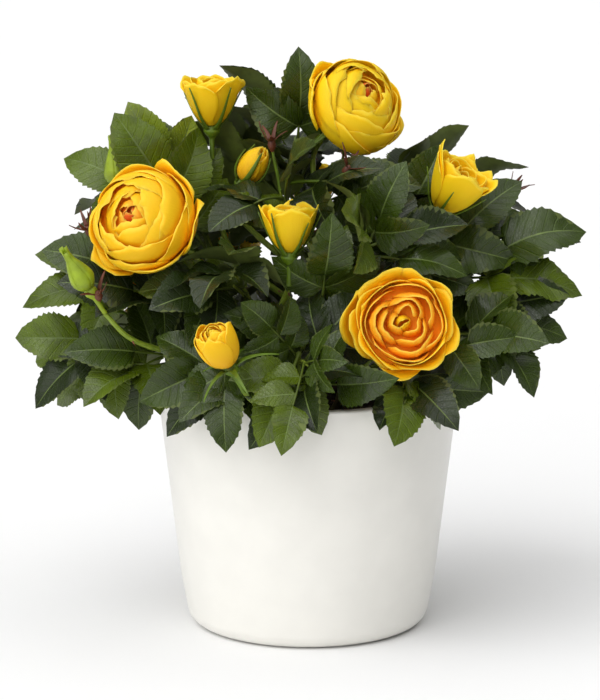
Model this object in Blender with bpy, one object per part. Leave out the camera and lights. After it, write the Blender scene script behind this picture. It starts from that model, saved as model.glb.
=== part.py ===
"""A potted yellow miniature rose bush.

A white tapered pot, its compost, seven canes, a tapering stem under each flower, the flowers
and buds, and leafy side shoots.  Metres, +Z up.  The origin is the middle of the pot's flat
underside, and the front of the plant faces -Y.  A place on the plant is written as azimuth
(degrees from +X towards +Y), reach (distance from the pot's axis) and height.
"""
import math
import random
from collections import namedtuple

import bmesh
import bpy
from mathutils import Vector
from mathutils.bvhtree import BVHTree

GAP = 0.0003                       # clear space between neighbouring pieces
SEED = 1

# Pot and compost
POT_HEIGHT = 0.115
POT_FOOT_RADIUS = 0.0562
POT_RIM_RADIUS = 0.070
POT_WALL = 0.0045
POT_FLOOR = 0.006
POT_FOOT_ROUND = 0.0088
POT_RIM_ROUND = 0.0012
POT_SECTORS = 36
SOIL_DEPTH_BELOW_RIM = 0.015
SOIL_SECTORS = 18
SOIL_LEVEL = POT_HEIGHT - SOIL_DEPTH_BELOW_RIM

# Limbs
CANE_SIDES = 8
CANE_RINGS = 6
CANE_FOOT_RADIUS = 0.0027
CANE_TIP_RADIUS = 0.0016
CANE_FLARE = 1.35                  # how much wider a cane is where it leaves the compost
STEM_SIDES = 5
STEM_RINGS = 6
STEM_RADIUS = 0.0014
NECK_RADIUS = 0.0011               # a flower stem's tip, and the twig under the flower
SHOOT_RADIUS = 0.0016
SHOOT_TIP_RADIUS = 0.0012
SHOOT_RINGS = 5
SHOOT_AIM_REACH = 0.020            # a shoot's tip points away from a place this far out
SHOOT_AIM_DROP = 0.030             # and this far below the tip
TWIG_SIDES = 3

# Leaves
LEAF_LENGTH = (0.050, 0.098)       # shortest and longest whole leaf, from shoot to tip
LEAFLET_SHARE = 0.44               # end leaflet's length as a share of the whole leaf
LEAFLET_LENGTH = (0.030, 0.042)
LEAFLET_WIDTH = 0.54               # width as a share of length
LEAFLET_THICK = 0.0006
LEAFLET_FOLD = 0.16                # rise of the blade's edge over its midrib, per width
LEAFLET_DROOP = 0.10               # fall of the tip, per length
ROOT_WIDTH = 0.0014                # how much of its stalk a leaflet's root takes up
SHORT_LEAF = 0.066                 # a shorter leaf has one pair of leaflets
PAIR_PLACES = (0.40, 0.78)         # where the pairs of leaflets stand along the twig
PAIR_SIZES = (0.80, 0.94)
PAIR_ANGLE = math.radians(66)
RACHIS_RADII = (0.0008, 0.0007)
RACHIS_RISE = 0.10                 # upward bow of a leaf's stalk, per length
LEAF_TRIES = 8
FILLER_TRIES = 60
LEAFLETS_LEAST = 3
RIM_CLEAR = 0.002                  # leaves keep this far from the pot
LEAD_STRAY = 0.0008                # how far each further try may miss its aim
FILLER_STRAY = 0.0022
LIMB_TRIES = 60
LIMB_OFFSET = CANE_FOOT_RADIUS + 0.0012    # from the middle of a cane to a limb beside it
LIMB_OFFSET_STEP = 0.00012         # how much further out each further try starts
LIMB_TURN = 0.0006                 # how far each further try turns round its cane
LIMB_SWERVE = 0.0005               # how far each further try swerves on its way

# A whole leaf's chance differences
LEAF_SWAY = 0.16
SIDE_ANGLE_SPREAD = 0.14
SIDE_SIZES = (0.92, 1.04)
SIDE_DROOP = 0.12                  # how far the side leaflets point down
SIDE_TILT = 0.10
SIDE_SWAY = 0.12

# Room: how far a leaf may stand out of its mass's space, and what it leaves open
SPACE_SPARE = 0.012
SPACE_SPARE_ABOVE = 0.006
SPACE_SPARE_TURN = 12
CORE_REACH = 0.030                 # nearer the axis than this, a leaf may face any way
OUTLOOK_LIFT = 0.22                # flowers are seen from the front or back, a little above
FLOWER_ROOM = {"bloom": 0.95, "half_open": 0.95, "bud": 1.4, "green_bud": 1.4}
FACE_DEPTH = 0.2                   # a flower's face starts this far behind its middle, per radius
OPEN_HEAD_RAISE = 0.2              # a closed head's middle lies this far up, per radius

# Where the leaves go
FILLER_REACH = (0.66, 0.98)        # share of the mass's reach
FILLER_RISE = (0.12, 0.92)         # share of the mass's height
FILLER_START = (0.31, 0.17)
FIRST_ROOT = 0.98                  # share of the shoot's length where the first leaf stands
ROOT_START = 0.02
ROOT_STEP = 0.23
ROOT_SPAN = 0.7

# Crown: leaves turn their upper side away from this point
CROWN_HEART = Vector((0.0, 0.010, 0.135))
CROWN_GIRTH = (0.125, 0.115, 0.100)
LEAF_TURN = 0.60                   # how far the leaves turn to the front or the back
LEAF_LIFT = 0.40                   # how far they turn up
GOLDEN = (math.sqrt(5) - 1) / 2

Cane = namedtuple("Cane", "foot tip")
Flower = namedtuple("Flower", "kind radius place facing host leaves_at")
Mass = namedtuple("Mass", "host leaves_at shoot azimuths heights reach leads fillers")
Head = namedtuple("Head", "sectors lobes middle sepal_lift sepal_length rings")

CANES = {                          # (azimuth, reach) of the foot, and the place of the tip
    "cane_left": Cane((200, 0.024), (203, 0.046, 0.160)),
    "cane_front": Cane((256, 0.022), (250, 0.038, 0.150)),
    "cane_front_right": Cane((292, 0.030), (295, 0.054, 0.128)),
    "cane_right": Cane((330, 0.024), (330, 0.042, 0.165)),
    "cane_rear_right": Cane((48, 0.024), (50, 0.046, 0.150)),
    "cane_rear_left": Cane((128, 0.024), (130, 0.046, 0.150)),
    "cane_centre": Cane((10, 0.004), (350, 0.006, 0.180)),
}

# A flower's profile runs from its base to its middle as (radius, height, lobe), in units of
# the flower's radius.  The lobe says how far the petals' edges wave in and out.
HEADS = {
    "bloom": Head(15, 5, 0.84, 0, 0.0, (
        (0.16, 0.00, 0.00), (0.58, 0.12, 0.00), (0.90, 0.45, 0.01), (1.00, 0.84, 0.03),
        (0.97, 1.04, 0.03), (0.84, 0.92, 0.00), (0.68, 1.04, -0.04), (0.54, 0.84, -0.02),
        (0.40, 0.98, 0.04), (0.24, 0.82, 0.02))),
    "half_open": Head(15, 5, 0.90, 35, 1.15, (
        (0.24, 0.00, 0.00), (0.66, 0.28, 0.02), (0.80, 0.74, 0.03), (0.84, 1.12, 0.04),
        (0.98, 1.48, 0.09), (0.78, 1.40, 0.05), (0.54, 1.12, 0.03), (0.38, 1.46, -0.05))),
    "bud": Head(10, 5, 1.15, 66, 1.90, (
        (0.34, 0.00, 0.00), (0.88, 0.45, 0.02), (1.00, 1.05, 0.03), (0.84, 1.70, 0.05),
        (0.42, 2.18, 0.08))),
    "green_bud": Head(10, 5, 1.60, 0, 0.0, (
        (0.42, 0.00, 0.00), (0.95, 0.60, 0.04), (1.00, 1.30, 0.05), (0.66, 2.30, 0.05),
        (0.24, 3.20, 0.02), (0.10, 4.00, 0.00))),
}
HEAD_TOPS = {"bloom": 0.72, "half_open": 1.24, "bud": 2.36, "green_bud": 4.2}
TWIG_LENGTH = 0.009                # the flower's own piece of stem, below its hip
HIP_LENGTH = 0.0055
HIP_RADIUS = {"bloom": 0.0045, "half_open": 0.0040, "bud": 0.0036, "green_bud": 0.0032}
SEPALS = 5
SEPAL_WIDTH = 0.0042
SEPAL_THICK = 0.0005
SEPAL_FOLD = 0.10
SEPAL_DROP = 0.0014                # from the petals' base down to the sepals' roots
SEPAL_ROOT_LENGTH = 0.003          # what the hip hides of a sepal

FLOWERS = {                        # place of the flower's middle; facing as (azimuth, lift)
    "bloom_left": Flower("bloom", 0.0262, (210, 0.089, 0.199), (242, 24), "cane_left", None),
    "bloom_top": Flower("bloom", 0.0232, (346, 0.026, 0.244), (313, 36), "cane_centre", None),
    "bloom_right": Flower("bloom", 0.0262, (300, 0.086, 0.157), (272, 16),
                          "cane_front_right", None),
    "half_open_top_left": Flower("half_open", 0.0148, (180, 0.0440, 0.2455), (268, 80),
                                 "cane_centre", 0.158),
    "half_open_middle": Flower("half_open", 0.0142, (261, 0.054, 0.196), (272, 74),
                               "cane_front", None),
    "half_open_right": Flower("half_open", 0.0160, (338, 0.072, 0.210), (334, 56),
                              "cane_right", None),
    "bud_middle": Flower("bud", 0.0082, (204, 0.027, 0.217), (340, 58), "cane_centre", 0.142),
    "bud_low_left": Flower("bud", 0.0098, (245, 0.094, 0.149), (212, 60), "cane_front", 0.126),
    "green_bud_high": Flower("green_bud", 0.0050, (186, 0.088, 0.215), (190, 82),
                             "cane_left", 0.146),
    "green_bud_low": Flower("green_bud", 0.0050, (206, 0.114, 0.174), (196, 58),
                            "cane_left", 0.128),
    "bloom_rear_left": Flower("bloom", 0.0250, (124, 0.084, 0.172), (124, 34),
                              "cane_rear_left", None),
    "bloom_rear_right": Flower("bloom", 0.0255, (50, 0.086, 0.166), (48, 28),
                               "cane_rear_right", None),
    "half_open_rear": Flower("half_open", 0.0140, (88, 0.058, 0.196), (90, 70),
                             "cane_rear_right", 0.130),
    "bud_rear": Flower("bud", 0.0085, (152, 0.098, 0.152), (150, 55), "cane_rear_left", 0.124),
}

# Leafy shoots: where each leaves its cane, where its own tip is, the space it keeps to, the
# places of its leading leaf tips and the number of leaves that fill it between them.
MASSES = {
    "leaves_top": Mass("cane_centre", 0.168, (110, 0.018, 0.214), (50, 215), (0.190, 0.270), 0.060,
                       ((115, 0.006, 0.266), (160, 0.040, 0.243)), 6),
    "leaves_top_right": Mass("cane_right", 0.150, (5, 0.040, 0.190), (-30, 60), (0.178, 0.240),
                             0.100, ((18, 0.076, 0.230), (8, 0.100, 0.217),
                                     (356, 0.062, 0.224)), 6),
    "leaves_left_high": Mass("cane_left", 0.154, (178, 0.052, 0.190), (150, 212), (0.176, 0.248),
                             0.108, ((180, 0.083, 0.243), (175, 0.112, 0.220),
                                     (176, 0.070, 0.236)), 5),
    "leaves_left_middle": Mass("cane_left", 0.138, (176, 0.062, 0.160), (150, 214),
                               (0.126, 0.192), 0.128, ((178, 0.126, 0.172), (184, 0.131, 0.155)),
                               6),
    "leaves_left_low": Mass("cane_left", 0.116, (191, 0.082, 0.144), (164, 222), (0.100, 0.150),
                            0.127, ((192, 0.130, 0.110), (187, 0.135, 0.136),
                                    (206, 0.112, 0.115)), 6),
    "leaves_front_left": Mass("cane_front", 0.118, (236, 0.064, 0.142), (206, 258),
                              (0.099, 0.164), 0.098, ((246, 0.094, 0.103), (219, 0.097, 0.119),
                                                      (236, 0.097, 0.119)), 5),
    "leaves_front": Mass("cane_front", 0.112, (266, 0.060, 0.140), (242, 294), (0.102, 0.164),
                         0.095, ((257, 0.092, 0.109), (272, 0.092, 0.116)), 6),
    "leaves_front_right": Mass("cane_front_right", 0.110, (312, 0.064, 0.136), (280, 342),
                               (0.102, 0.148), 0.098, ((295, 0.094, 0.107), (310, 0.096, 0.116),
                                                       (328, 0.094, 0.119)), 5),
    "leaves_right_low": Mass("cane_right", 0.120, (352, 0.076, 0.150), (326, 380),
                             (0.110, 0.166), 0.116, ((347, 0.103, 0.116), (352, 0.120, 0.142),
                                                     (330, 0.092, 0.122)), 6),
    "leaves_right_middle": Mass("cane_right", 0.140, (1, 0.066, 0.176), (328, 384),
                                (0.150, 0.212), 0.122, ((4, 0.126, 0.180), (0, 0.122, 0.203),
                                                        (356, 0.122, 0.166)), 6),
    "leaves_middle": Mass("cane_front", 0.128, (278, 0.036, 0.154), (222, 322), (0.132, 0.206),
                          0.072, ((250, 0.066, 0.168), (285, 0.066, 0.160)), 5),
    "leaves_middle_left": Mass("cane_front", 0.142, (228, 0.050, 0.172), (205, 262),
                               (0.142, 0.206), 0.088, ((240, 0.088, 0.172),
                                                       (222, 0.094, 0.160)), 4),
    "leaves_middle_right": Mass("cane_right", 0.158, (300, 0.046, 0.184), (262, 345),
                                (0.150, 0.222), 0.084, ((285, 0.072, 0.204),
                                                        (322, 0.088, 0.178)), 7),
    "leaves_middle_top": Mass("cane_centre", 0.176, (235, 0.022, 0.206), (190, 345),
                              (0.184, 0.238), 0.062, ((240, 0.046, 0.228),
                                                      (310, 0.050, 0.222)), 6),
    "leaves_rear_left_low": Mass("cane_rear_left", 0.116, (142, 0.056, 0.132), (118, 172),
                                 (0.100, 0.156), 0.116, ((158, 0.120, 0.126),), 6),
    "leaves_rear_low": Mass("cane_rear_left", 0.110, (94, 0.054, 0.130), (66, 122),
                            (0.100, 0.152), 0.112, ((92, 0.118, 0.120),), 6),
    "leaves_rear_right_low": Mass("cane_rear_right", 0.116, (34, 0.056, 0.134), (12, 70),
                                  (0.100, 0.156), 0.116, ((24, 0.120, 0.130),), 6),
    "leaves_rear_left": Mass("cane_rear_left", 0.144, (136, 0.058, 0.176), (100, 172),
                             (0.144, 0.214), 0.110, ((148, 0.112, 0.188),), 6),
    "leaves_rear_middle": Mass("cane_rear_right", 0.140, (84, 0.044, 0.164), (56, 120),
                               (0.146, 0.206), 0.100, ((74, 0.098, 0.176),), 5),
    "leaves_rear_right": Mass("cane_rear_right", 0.146, (36, 0.058, 0.184), (4, 92),
                              (0.150, 0.226), 0.110, ((22, 0.112, 0.188),
                                                      (60, 0.080, 0.214)), 4),
}

COLOURS = {                        # linear base colour and roughness
    "pot": ((0.88, 0.87, 0.83), 0.35),
    "compost": ((0.030, 0.018, 0.010), 0.95),
    "bark": ((0.110, 0.170, 0.045), 0.60),
    "petals": ((0.95, 0.55, 0.015), 0.50),
    "leaf": ((0.025, 0.070, 0.012), 0.38),
    "green_bud": ((0.120, 0.220, 0.040), 0.50),
}


# ---------------------------------------------------------------- shapes as points and faces

def place(azimuth, reach, height):
    """The point at a place on the plant."""
    angle = math.radians(azimuth)
    return Vector((reach * math.cos(angle), reach * math.sin(angle), height))


def heading(azimuth, lift):
    """The unit vector that points along an azimuth, lifted over the horizontal."""
    rise = math.radians(lift)
    return place(azimuth, math.cos(rise), math.sin(rise))


def bezier(points, t):
    """A point on the cubic through four control points."""
    a, b, c, d = points
    s = 1 - t
    return a * s**3 + b * (3 * s * s * t) + c * (3 * s * t * t) + d * t**3


def upright(along, wish):
    """The unit vector nearest to wish that stands square to along."""
    return (wish - along * wish.dot(along)).normalized()


def tube(points, radii, sides, grow=0.0, ends=None):
    """A closed tapering tube along points; its flat ends face along ends where given."""
    tangents = [(points[min(i + 1, len(points) - 1)] - points[max(i - 1, 0)]).normalized()
                for i in range(len(points))]
    if ends:
        tangents[0], tangents[-1] = ends
    side = upright(tangents[0], Vector((0.31, 0.87, 0.11)))
    verts = []
    for point, tangent, radius in zip(points, tangents, radii):
        side = upright(tangent, side)
        across = tangent.cross(side)
        for k in range(sides):
            turn = 2 * math.pi * k / sides
            spoke = side * math.cos(turn) + across * math.sin(turn)
            verts.append(point + spoke * (radius + grow))
    faces = [tuple(reversed(range(sides)))]
    for ring in range(len(points) - 1):
        for k in range(sides):
            a, b = ring * sides + k, ring * sides + (k + 1) % sides
            faces.append((a, b, b + sides, a + sides))
    faces.append(tuple(range((len(points) - 1) * sides, len(points) * sides)))
    return verts, faces


def blade_points(root, along, up, length, width, thick, fold, droop, grow=0.0):
    """A blade's rim from its right side round the tip to its left, then its two swellings."""
    across = along.cross(up)
    half = width / 2 + grow

    def at(x, y, z):
        return root + across * x + along * y + up * z

    rise = fold * width
    return [at(0.90 * half, 0.28 * length, rise), at(0.82 * half, 0.60 * length, 0.9 * rise),
            at(0, length + grow, -droop * length),
            at(-0.82 * half, 0.60 * length, 0.9 * rise), at(-0.90 * half, 0.28 * length, rise),
            at(0, 0.42 * length, thick / 2 + grow), at(0, 0.42 * length, -thick / 2 - grow)]


def blade_faces(first, upper, lower):
    """Faces that carry a blade on from its twig.

    first is the number of the blade's first point; upper and lower are the twig's own points
    over and under the root, from the blade's left to its right.
    """
    rim = list(range(first, first + 5))
    faces = []
    for side, middle in ((upper, first + 5), (lower, first + 6)):
        loop = rim + list(side)
        for k in range(len(loop)):
            pair = (loop[k], loop[(k + 1) % len(loop)])
            faces.append((*pair, middle) if middle == first + 5 else (*reversed(pair), middle))
    faces.append((upper[-1], lower[-1], rim[0]))
    faces.append((lower[0], upper[0], rim[-1]))
    return faces


def blade(root, along, up, length, width, thick, fold, droop, grow=0.0):
    """A closed blade of its own, with a short upright edge at its root."""
    verts = blade_points(root, along, up, length, width, thick, fold, droop, grow)
    reach = thick / 2 + grow
    verts += [root + up * reach - along * grow, root - up * reach - along * grow]
    return verts, blade_faces(0, (7,), (8,))


def turned(rings, sectors):
    """A closed body from rings of points, bottom to top, with its last point in the middle."""
    verts = [point for ring in rings[:-1] for point in ring] + [rings[-1]]
    faces = [tuple(reversed(range(sectors)))]
    for r in range(len(rings) - 2):
        for k in range(sectors):
            a, b = r * sectors + k, r * sectors + (k + 1) % sectors
            faces.append((a, b, b + sectors, a + sectors))
    last = (len(rings) - 2) * sectors
    for k in range(sectors):
        faces.append((last + k, last + (k + 1) % sectors, len(verts) - 1))
    return verts, faces


# ------------------------------------------------------------------------- the growing plant

class Thicket:
    """What has grown so far, so that what grows next keeps clear of it."""

    def __init__(self):
        self.grown = []

    def add(self, shape, owner):
        verts, faces = shape
        middle = sum(verts, Vector()) / len(verts)
        spread = max((v - middle).length for v in verts)
        self.grown.append((middle, spread, BVHTree.FromPolygons(verts, faces), owner))

    def touches(self, shape, kin=()):
        """True where the shape meets something whose owner isn't among its kin."""
        verts, faces = shape
        middle = sum(verts, Vector()) / len(verts)
        spread = max((v - middle).length for v in verts)
        tree = None
        for other_middle, other_spread, other_tree, other_owner in self.grown:
            if other_owner in kin or (other_middle - middle).length > spread + other_spread:
                continue
            tree = tree or BVHTree.FromPolygons(verts, faces)
            if tree.overlap(other_tree):
                return True
        return False


def cane_path(cane):
    """Points along a cane's middle, from its flat cut at the compost to its tip."""
    foot = place(*cane.foot, SOIL_LEVEL + GAP)
    tip = place(*cane.tip)
    rise = tip.z - foot.z
    controls = (foot, foot + Vector((0, 0, 0.35 * rise)),
                tip - (tip - foot) * 0.25 - Vector((0, 0, 0.10 * rise)), tip)
    return [bezier(controls, i / (CANE_RINGS - 1)) for i in range(CANE_RINGS)]


def cane_shape(cane):
    """A cane's tapering tube: its foot is flat, level and a little flared."""
    points = cane_path(cane)
    radii = [CANE_FOOT_RADIUS + (CANE_TIP_RADIUS - CANE_FOOT_RADIUS) * i / (CANE_RINGS - 1)
             for i in range(CANE_RINGS)]
    radii[0] *= CANE_FLARE
    verts, faces = tube(points, radii, CANE_SIDES)
    for v in verts[:CANE_SIDES]:
        v.z = points[0].z
    return verts, faces


def point_at_height(points, height):
    """The point on a rising path at a height, and the path's direction there."""
    for low, high in zip(points, points[1:]):
        if low.z <= height <= high.z:
            share = (height - low.z) / (high.z - low.z)
            return low.lerp(high, share), (high - low).normalized()
    raise ValueError("the cane does not reach that height")


def flower_axis(flower):
    return heading(*flower.facing)


def flower_base(flower):
    """Where the petals leave the hip."""
    middle = HEADS[flower.kind].middle * flower.radius
    return place(*flower.place) - flower_axis(flower) * middle


def twig_foot(flower):
    """The lower end of the flower's own piece of stem."""
    return flower_base(flower) - flower_axis(flower) * (HIP_LENGTH + TWIG_LENGTH)


def flower_spoke(axis, share):
    """The unit vector square to a flower's axis at a share of the way round it."""
    side = upright(axis, Vector((0, 0, 1)) if abs(axis.z) < 0.9 else Vector((0, -1, 0)))
    turn = 2 * math.pi * share
    return side * math.cos(turn) + axis.cross(side) * math.sin(turn)


def head_rings(flower):
    """Rings of points from the twig's cut, over the hip and the petals, to the middle."""
    head = HEADS[flower.kind]
    axis = flower_axis(flower)
    base = flower_base(flower)
    hip = HIP_RADIUS[flower.kind]
    profile = [(NECK_RADIUS, -HIP_LENGTH - TWIG_LENGTH, 0), (NECK_RADIUS, -HIP_LENGTH, 0),
               (hip, -0.45 * HIP_LENGTH, 0)]
    profile += [(r * flower.radius, h * flower.radius, lobe) for r, h, lobe in head.rings]
    rings = []
    for radius, height, lobe in profile:
        ring = []
        for k in range(head.sectors):
            share = k / head.sectors
            wave = lobe * math.cos(2 * math.pi * head.lobes * share)
            ring.append(base + flower_spoke(axis, share) * (radius * (1 + wave))
                        + axis * (height + wave * flower.radius))
        rings.append(ring)
    rings.append(base + axis * (HEAD_TOPS[flower.kind] * flower.radius))
    return rings


def sepal_shapes(flower):
    """Five narrow blades that spread from the top of the hip."""
    head = HEADS[flower.kind]
    if not head.sepal_length:
        return []
    axis = flower_axis(flower)
    lift = math.radians(head.sepal_lift)
    root = flower_base(flower) - axis * SEPAL_DROP
    length = head.sepal_length * flower.radius + SEPAL_ROOT_LENGTH
    shapes = []
    for k in range(SEPALS):
        spoke = flower_spoke(axis, (k + 0.5) / SEPALS)
        along = spoke * math.cos(lift) + axis * math.sin(lift)
        up = axis * math.cos(lift) - spoke * math.sin(lift)
        shapes.append(blade(root, along, up, length, SEPAL_WIDTH, SEPAL_THICK, SEPAL_FOLD, 0.0))
    return shapes


def limb_path(start, lead, end, arrive, rings):
    """Points along a smooth limb from start, heading along lead, to end, along arrive."""
    reach = (end - start).length
    controls = (start, start + lead * (0.33 * reach), end - arrive * (0.36 * reach), end)
    return [bezier(controls, i / (rings - 1)) for i in range(rings)]


def taper(first, last, count):
    return [first + (last - first) * i / (count - 1) for i in range(count)]


def grow_limb(thicket, rng, host, leaves_at, end, arrive, radii, sides, rings, owner):
    """A limb from its cane to end: from the cane's tip, or clear of its side at a height."""
    points = cane_path(CANES[host])
    for attempt in range(LIMB_TRIES):
        if leaves_at is None:
            lead = (points[-1] - points[-2]).normalized()
            start = points[-1] + lead * GAP
        else:
            middle, rising = point_at_height(points, leaves_at)
            out = upright(rising, end - middle + wander(rng, LIMB_TURN * attempt))
            lead = (out * 0.8 + rising * 0.6).normalized()
            start = middle + lead * (LIMB_OFFSET + LIMB_OFFSET_STEP * attempt)
        path = limb_path(start, lead, end, arrive, rings)
        swerve = wander(rng, LIMB_SWERVE * attempt)
        for i in range(1, rings - 1):
            path[i] += swerve * math.sin(math.pi * i / (rings - 1))
        ends = (lead, arrive)
        if not thicket.touches(tube(path, taper(*radii, rings), sides, 0.6 * GAP, ends)):
            return path, ends
    raise ValueError("no clear way for " + owner)


def wander(rng, size):
    """A seeded random step."""
    return Vector([rng.uniform(-size, size) for _ in range(3)])


def crown_normal(point):
    """The way a leaf's upper side turns: out of the crown, up, and to the nearer open side."""
    away = point - CROWN_HEART
    out = Vector([away[i] / CROWN_GIRTH[i]**2 for i in range(3)]).normalized()
    open_side = -1 if point.y < CROWN_HEART.y else 1
    return (out + Vector((0, open_side * LEAF_TURN, LEAF_LIFT))).normalized()


def leaf_parts(root, tip, rng):
    """One compound leaf: its stalk's frame and joints, and its leaflets.

    A leaflet is (joint, hand, along, up, length): hand is 1 or -1 for a side leaflet and 0
    for the end one.
    """
    whole = tip - root
    length = whole.length
    along = whole.normalized()
    up = upright(along, crown_normal(root.lerp(tip, 0.7)) + wander(rng, LEAF_SWAY))
    across = along.cross(up)
    end_length = min(max(LEAFLET_SHARE * length, LEAFLET_LENGTH[0]), LEAFLET_LENGTH[1])
    reach = length - end_length

    def on_stalk(share):
        bow = RACHIS_RISE * length * (math.sin(math.pi * 0.5 * share) - 0.55 * share**2)
        return root + along * (reach * share) + up * bow

    joints = [on_stalk(share) for share in (0, *PAIR_PLACES, 1)]
    end_along = (tip - joints[-1]).normalized()
    leaflets = [(len(joints) - 1, 0, end_along, upright(end_along, up), end_length)]
    for joint, size in zip(range(1, len(joints) - 1), PAIR_SIZES):
        if joint == 1 and length < SHORT_LEAF:
            continue
        for hand in (1, -1):
            angle = PAIR_ANGLE + rng.uniform(-SIDE_ANGLE_SPREAD, SIDE_ANGLE_SPREAD)
            way = along * math.cos(angle) + across * (hand * math.sin(angle))
            way = (way - up * SIDE_DROOP).normalized()
            tilt = upright(way, up + across * (hand * SIDE_TILT) + wander(rng, SIDE_SWAY))
            side_length = end_length * size * rng.uniform(*SIDE_SIZES)
            leaflets.append((joint, hand, way, tilt, side_length))
    return (along, up, across), joints, leaflets


def leaflet_size(length):
    return length, length * LEAFLET_WIDTH, LEAFLET_THICK, LEAFLET_FOLD, LEAFLET_DROOP


def leaflet_shape(joints, leaflet, grow=0.0):
    """A leaflet alone, to test the room it needs."""
    joint, _, along, up, length = leaflet
    return blade(joints[joint], along, up, *leaflet_size(length), grow)


def leaf_shape(frame, joints, leaflets):
    """A whole leaf as one closed body: a three-sided stalk that its blades grow on from."""
    along, up, across = frame
    rings = [(joints[0], 0)]
    for joint in sorted({leaflet[0] for leaflet in leaflets} - {len(joints) - 1}):
        rings += [(joints[joint] - along * ROOT_WIDTH / 2, joint),
                  (joints[joint] + along * ROOT_WIDTH / 2, joint)]
    rings.append((joints[-1], len(joints) - 1))
    verts = []
    for point, joint in rings:
        size = RACHIS_RADII[0] + (RACHIS_RADII[1] - RACHIS_RADII[0]) * joint / (len(joints) - 1)
        verts += [point - across * size + up * size * 0.5, point + across * size + up * size * 0.5,
                  point - up * size]
    left, right, under = 0, 1, 2
    blades = {(joint, hand): (way, tilt, size) for joint, hand, way, tilt, size in leaflets}
    faces = [(left, right, under)]
    for ring in range(len(rings) - 1):
        a, b = 3 * ring, 3 * (ring + 1)
        joint = rings[ring][1] if rings[ring][1] == rings[ring + 1][1] else None
        faces.append((a + left, b + left, b + right, a + right))
        for hand, side in ((1, right), (-1, left)):
            if (joint, hand) in blades:
                way, tilt, size = blades[joint, hand]
                root = joints[joint] + across * (hand * RACHIS_RADII[1])
                first = len(verts)
                verts += blade_points(root, way, tilt, *leaflet_size(size))
                near, far = (a, b) if hand > 0 else (b, a)
                faces += blade_faces(first, (far + side, near + side),
                                     (far + under, near + under))
            elif hand > 0:
                faces.append((a + right, b + right, b + under, a + under))
            else:
                faces.append((a + under, b + under, b + left, a + left))
    last = 3 * (len(rings) - 1)
    way, tilt, size = blades[len(joints) - 1, 0]
    first = len(verts)
    verts += blade_points(joints[-1], way, tilt, *leaflet_size(size))
    faces += blade_faces(first, (last + left, last + right), (last + under,))
    return verts, faces


def stays_in(mass, shape):
    """True where a shape keeps to the space of its mass."""
    low, high = mass.heights
    first, last = mass.azimuths
    middle = (first + last) / 2
    for v in shape[0]:
        if not low - SPACE_SPARE <= v.z <= high + SPACE_SPARE_ABOVE:
            return False
        reach = math.hypot(v.x, v.y)
        if reach > mass.reach + SPACE_SPARE:
            return False
        if v.z < POT_HEIGHT + RIM_CLEAR and reach < POT_RIM_RADIUS + RIM_CLEAR:
            return False
        turn = (math.degrees(math.atan2(v.y, v.x)) - middle + 180) % 360 - 180
        if reach > CORE_REACH and abs(turn) > (last - first) / 2 + SPACE_SPARE_TURN:
            return False
    return True


def hides_flower(shape):
    """True where a shape stands before a flower, on the side the flower is seen from."""
    for flower in FLOWERS.values():
        middle = place(*flower.place)
        if flower.kind != "bloom":
            middle = middle + flower_axis(flower) * (OPEN_HEAD_RAISE * flower.radius)
        front = middle.y < CROWN_HEART.y / 2
        outlook = Vector((0, -1 if front else 1, OUTLOOK_LIFT)).normalized()
        room = flower.radius * FLOWER_ROOM[flower.kind]
        for v in shape[0]:
            off = v - middle
            ahead = off.dot(outlook)
            before = ahead > -FACE_DEPTH * flower.radius and (off - outlook * ahead).length < room
            if before or off.length < room:
                return True
    return False


def leaf_tips(mass, rng):
    """The places that a mass's leaves reach for: its leads, then spots all through its space."""
    for lead in mass.leads:
        yield place(*lead)
    first, last = mass.azimuths
    low, high = mass.heights
    rise_low, rise_high = FILLER_RISE
    for i in range(1, FILLER_TRIES + 1):
        across = (FILLER_START[0] + i * GOLDEN) % 1
        rise = rise_low + (rise_high - rise_low) * ((FILLER_START[1] + i * GOLDEN**2) % 1)
        yield place(first + (last - first) * across, mass.reach * rng.uniform(*FILLER_REACH),
                    low + (high - low) * rise)


def grow_leaf(thicket, rng, mass, kin, root, tip, least, stray):
    """A leaf towards tip with the leaflets that find room, or None with too few of them."""
    best = None
    for attempt in range(LEAF_TRIES):
        goal = tip + wander(rng, stray * attempt)
        way = goal - root
        reach = min(max(way.length, LEAF_LENGTH[0]), LEAF_LENGTH[1])
        frame, joints, leaflets = leaf_parts(root, root + way.normalized() * reach, rng)
        stalk = tube(joints, [RACHIS_RADII[0]] * len(joints), TWIG_SIDES, GAP)
        if thicket.touches(stalk, kin):
            continue
        kept = []
        for leaflet in leaflets:
            shape = leaflet_shape(joints, leaflet, 2 * GAP)
            if stays_in(mass, shape) and not hides_flower(shape) \
                    and not thicket.touches(shape, kin):
                kept.append(leaflet)
        if leaflets[0] in kept and (best is None or len(kept) > len(best[2])):
            best = (frame, joints, kept)
            if len(kept) == len(leaflets):
                break
    if best is None or len(best[2]) < least:
        return None
    return best


def shoot_name(mass_name):
    return mass_name + "_shoot"


def grow_shoot(thicket, rng, name, mass):
    """A mass's shoot: its path and its tube."""
    end = place(*mass.shoot)
    azimuth, _, height = mass.shoot
    arrive = (end - place(azimuth, SHOOT_AIM_REACH, height - SHOOT_AIM_DROP)).normalized()
    path, ends = grow_limb(thicket, rng, mass.host, mass.leaves_at, end, arrive,
                           (SHOOT_RADIUS, SHOOT_TIP_RADIUS), TWIG_SIDES, SHOOT_RINGS, name)
    shape = tube(path, taper(SHOOT_RADIUS, SHOOT_TIP_RADIUS, SHOOT_RINGS), TWIG_SIDES,
                 ends=ends)
    thicket.add(shape, shoot_name(name))
    return path, shape


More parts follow.
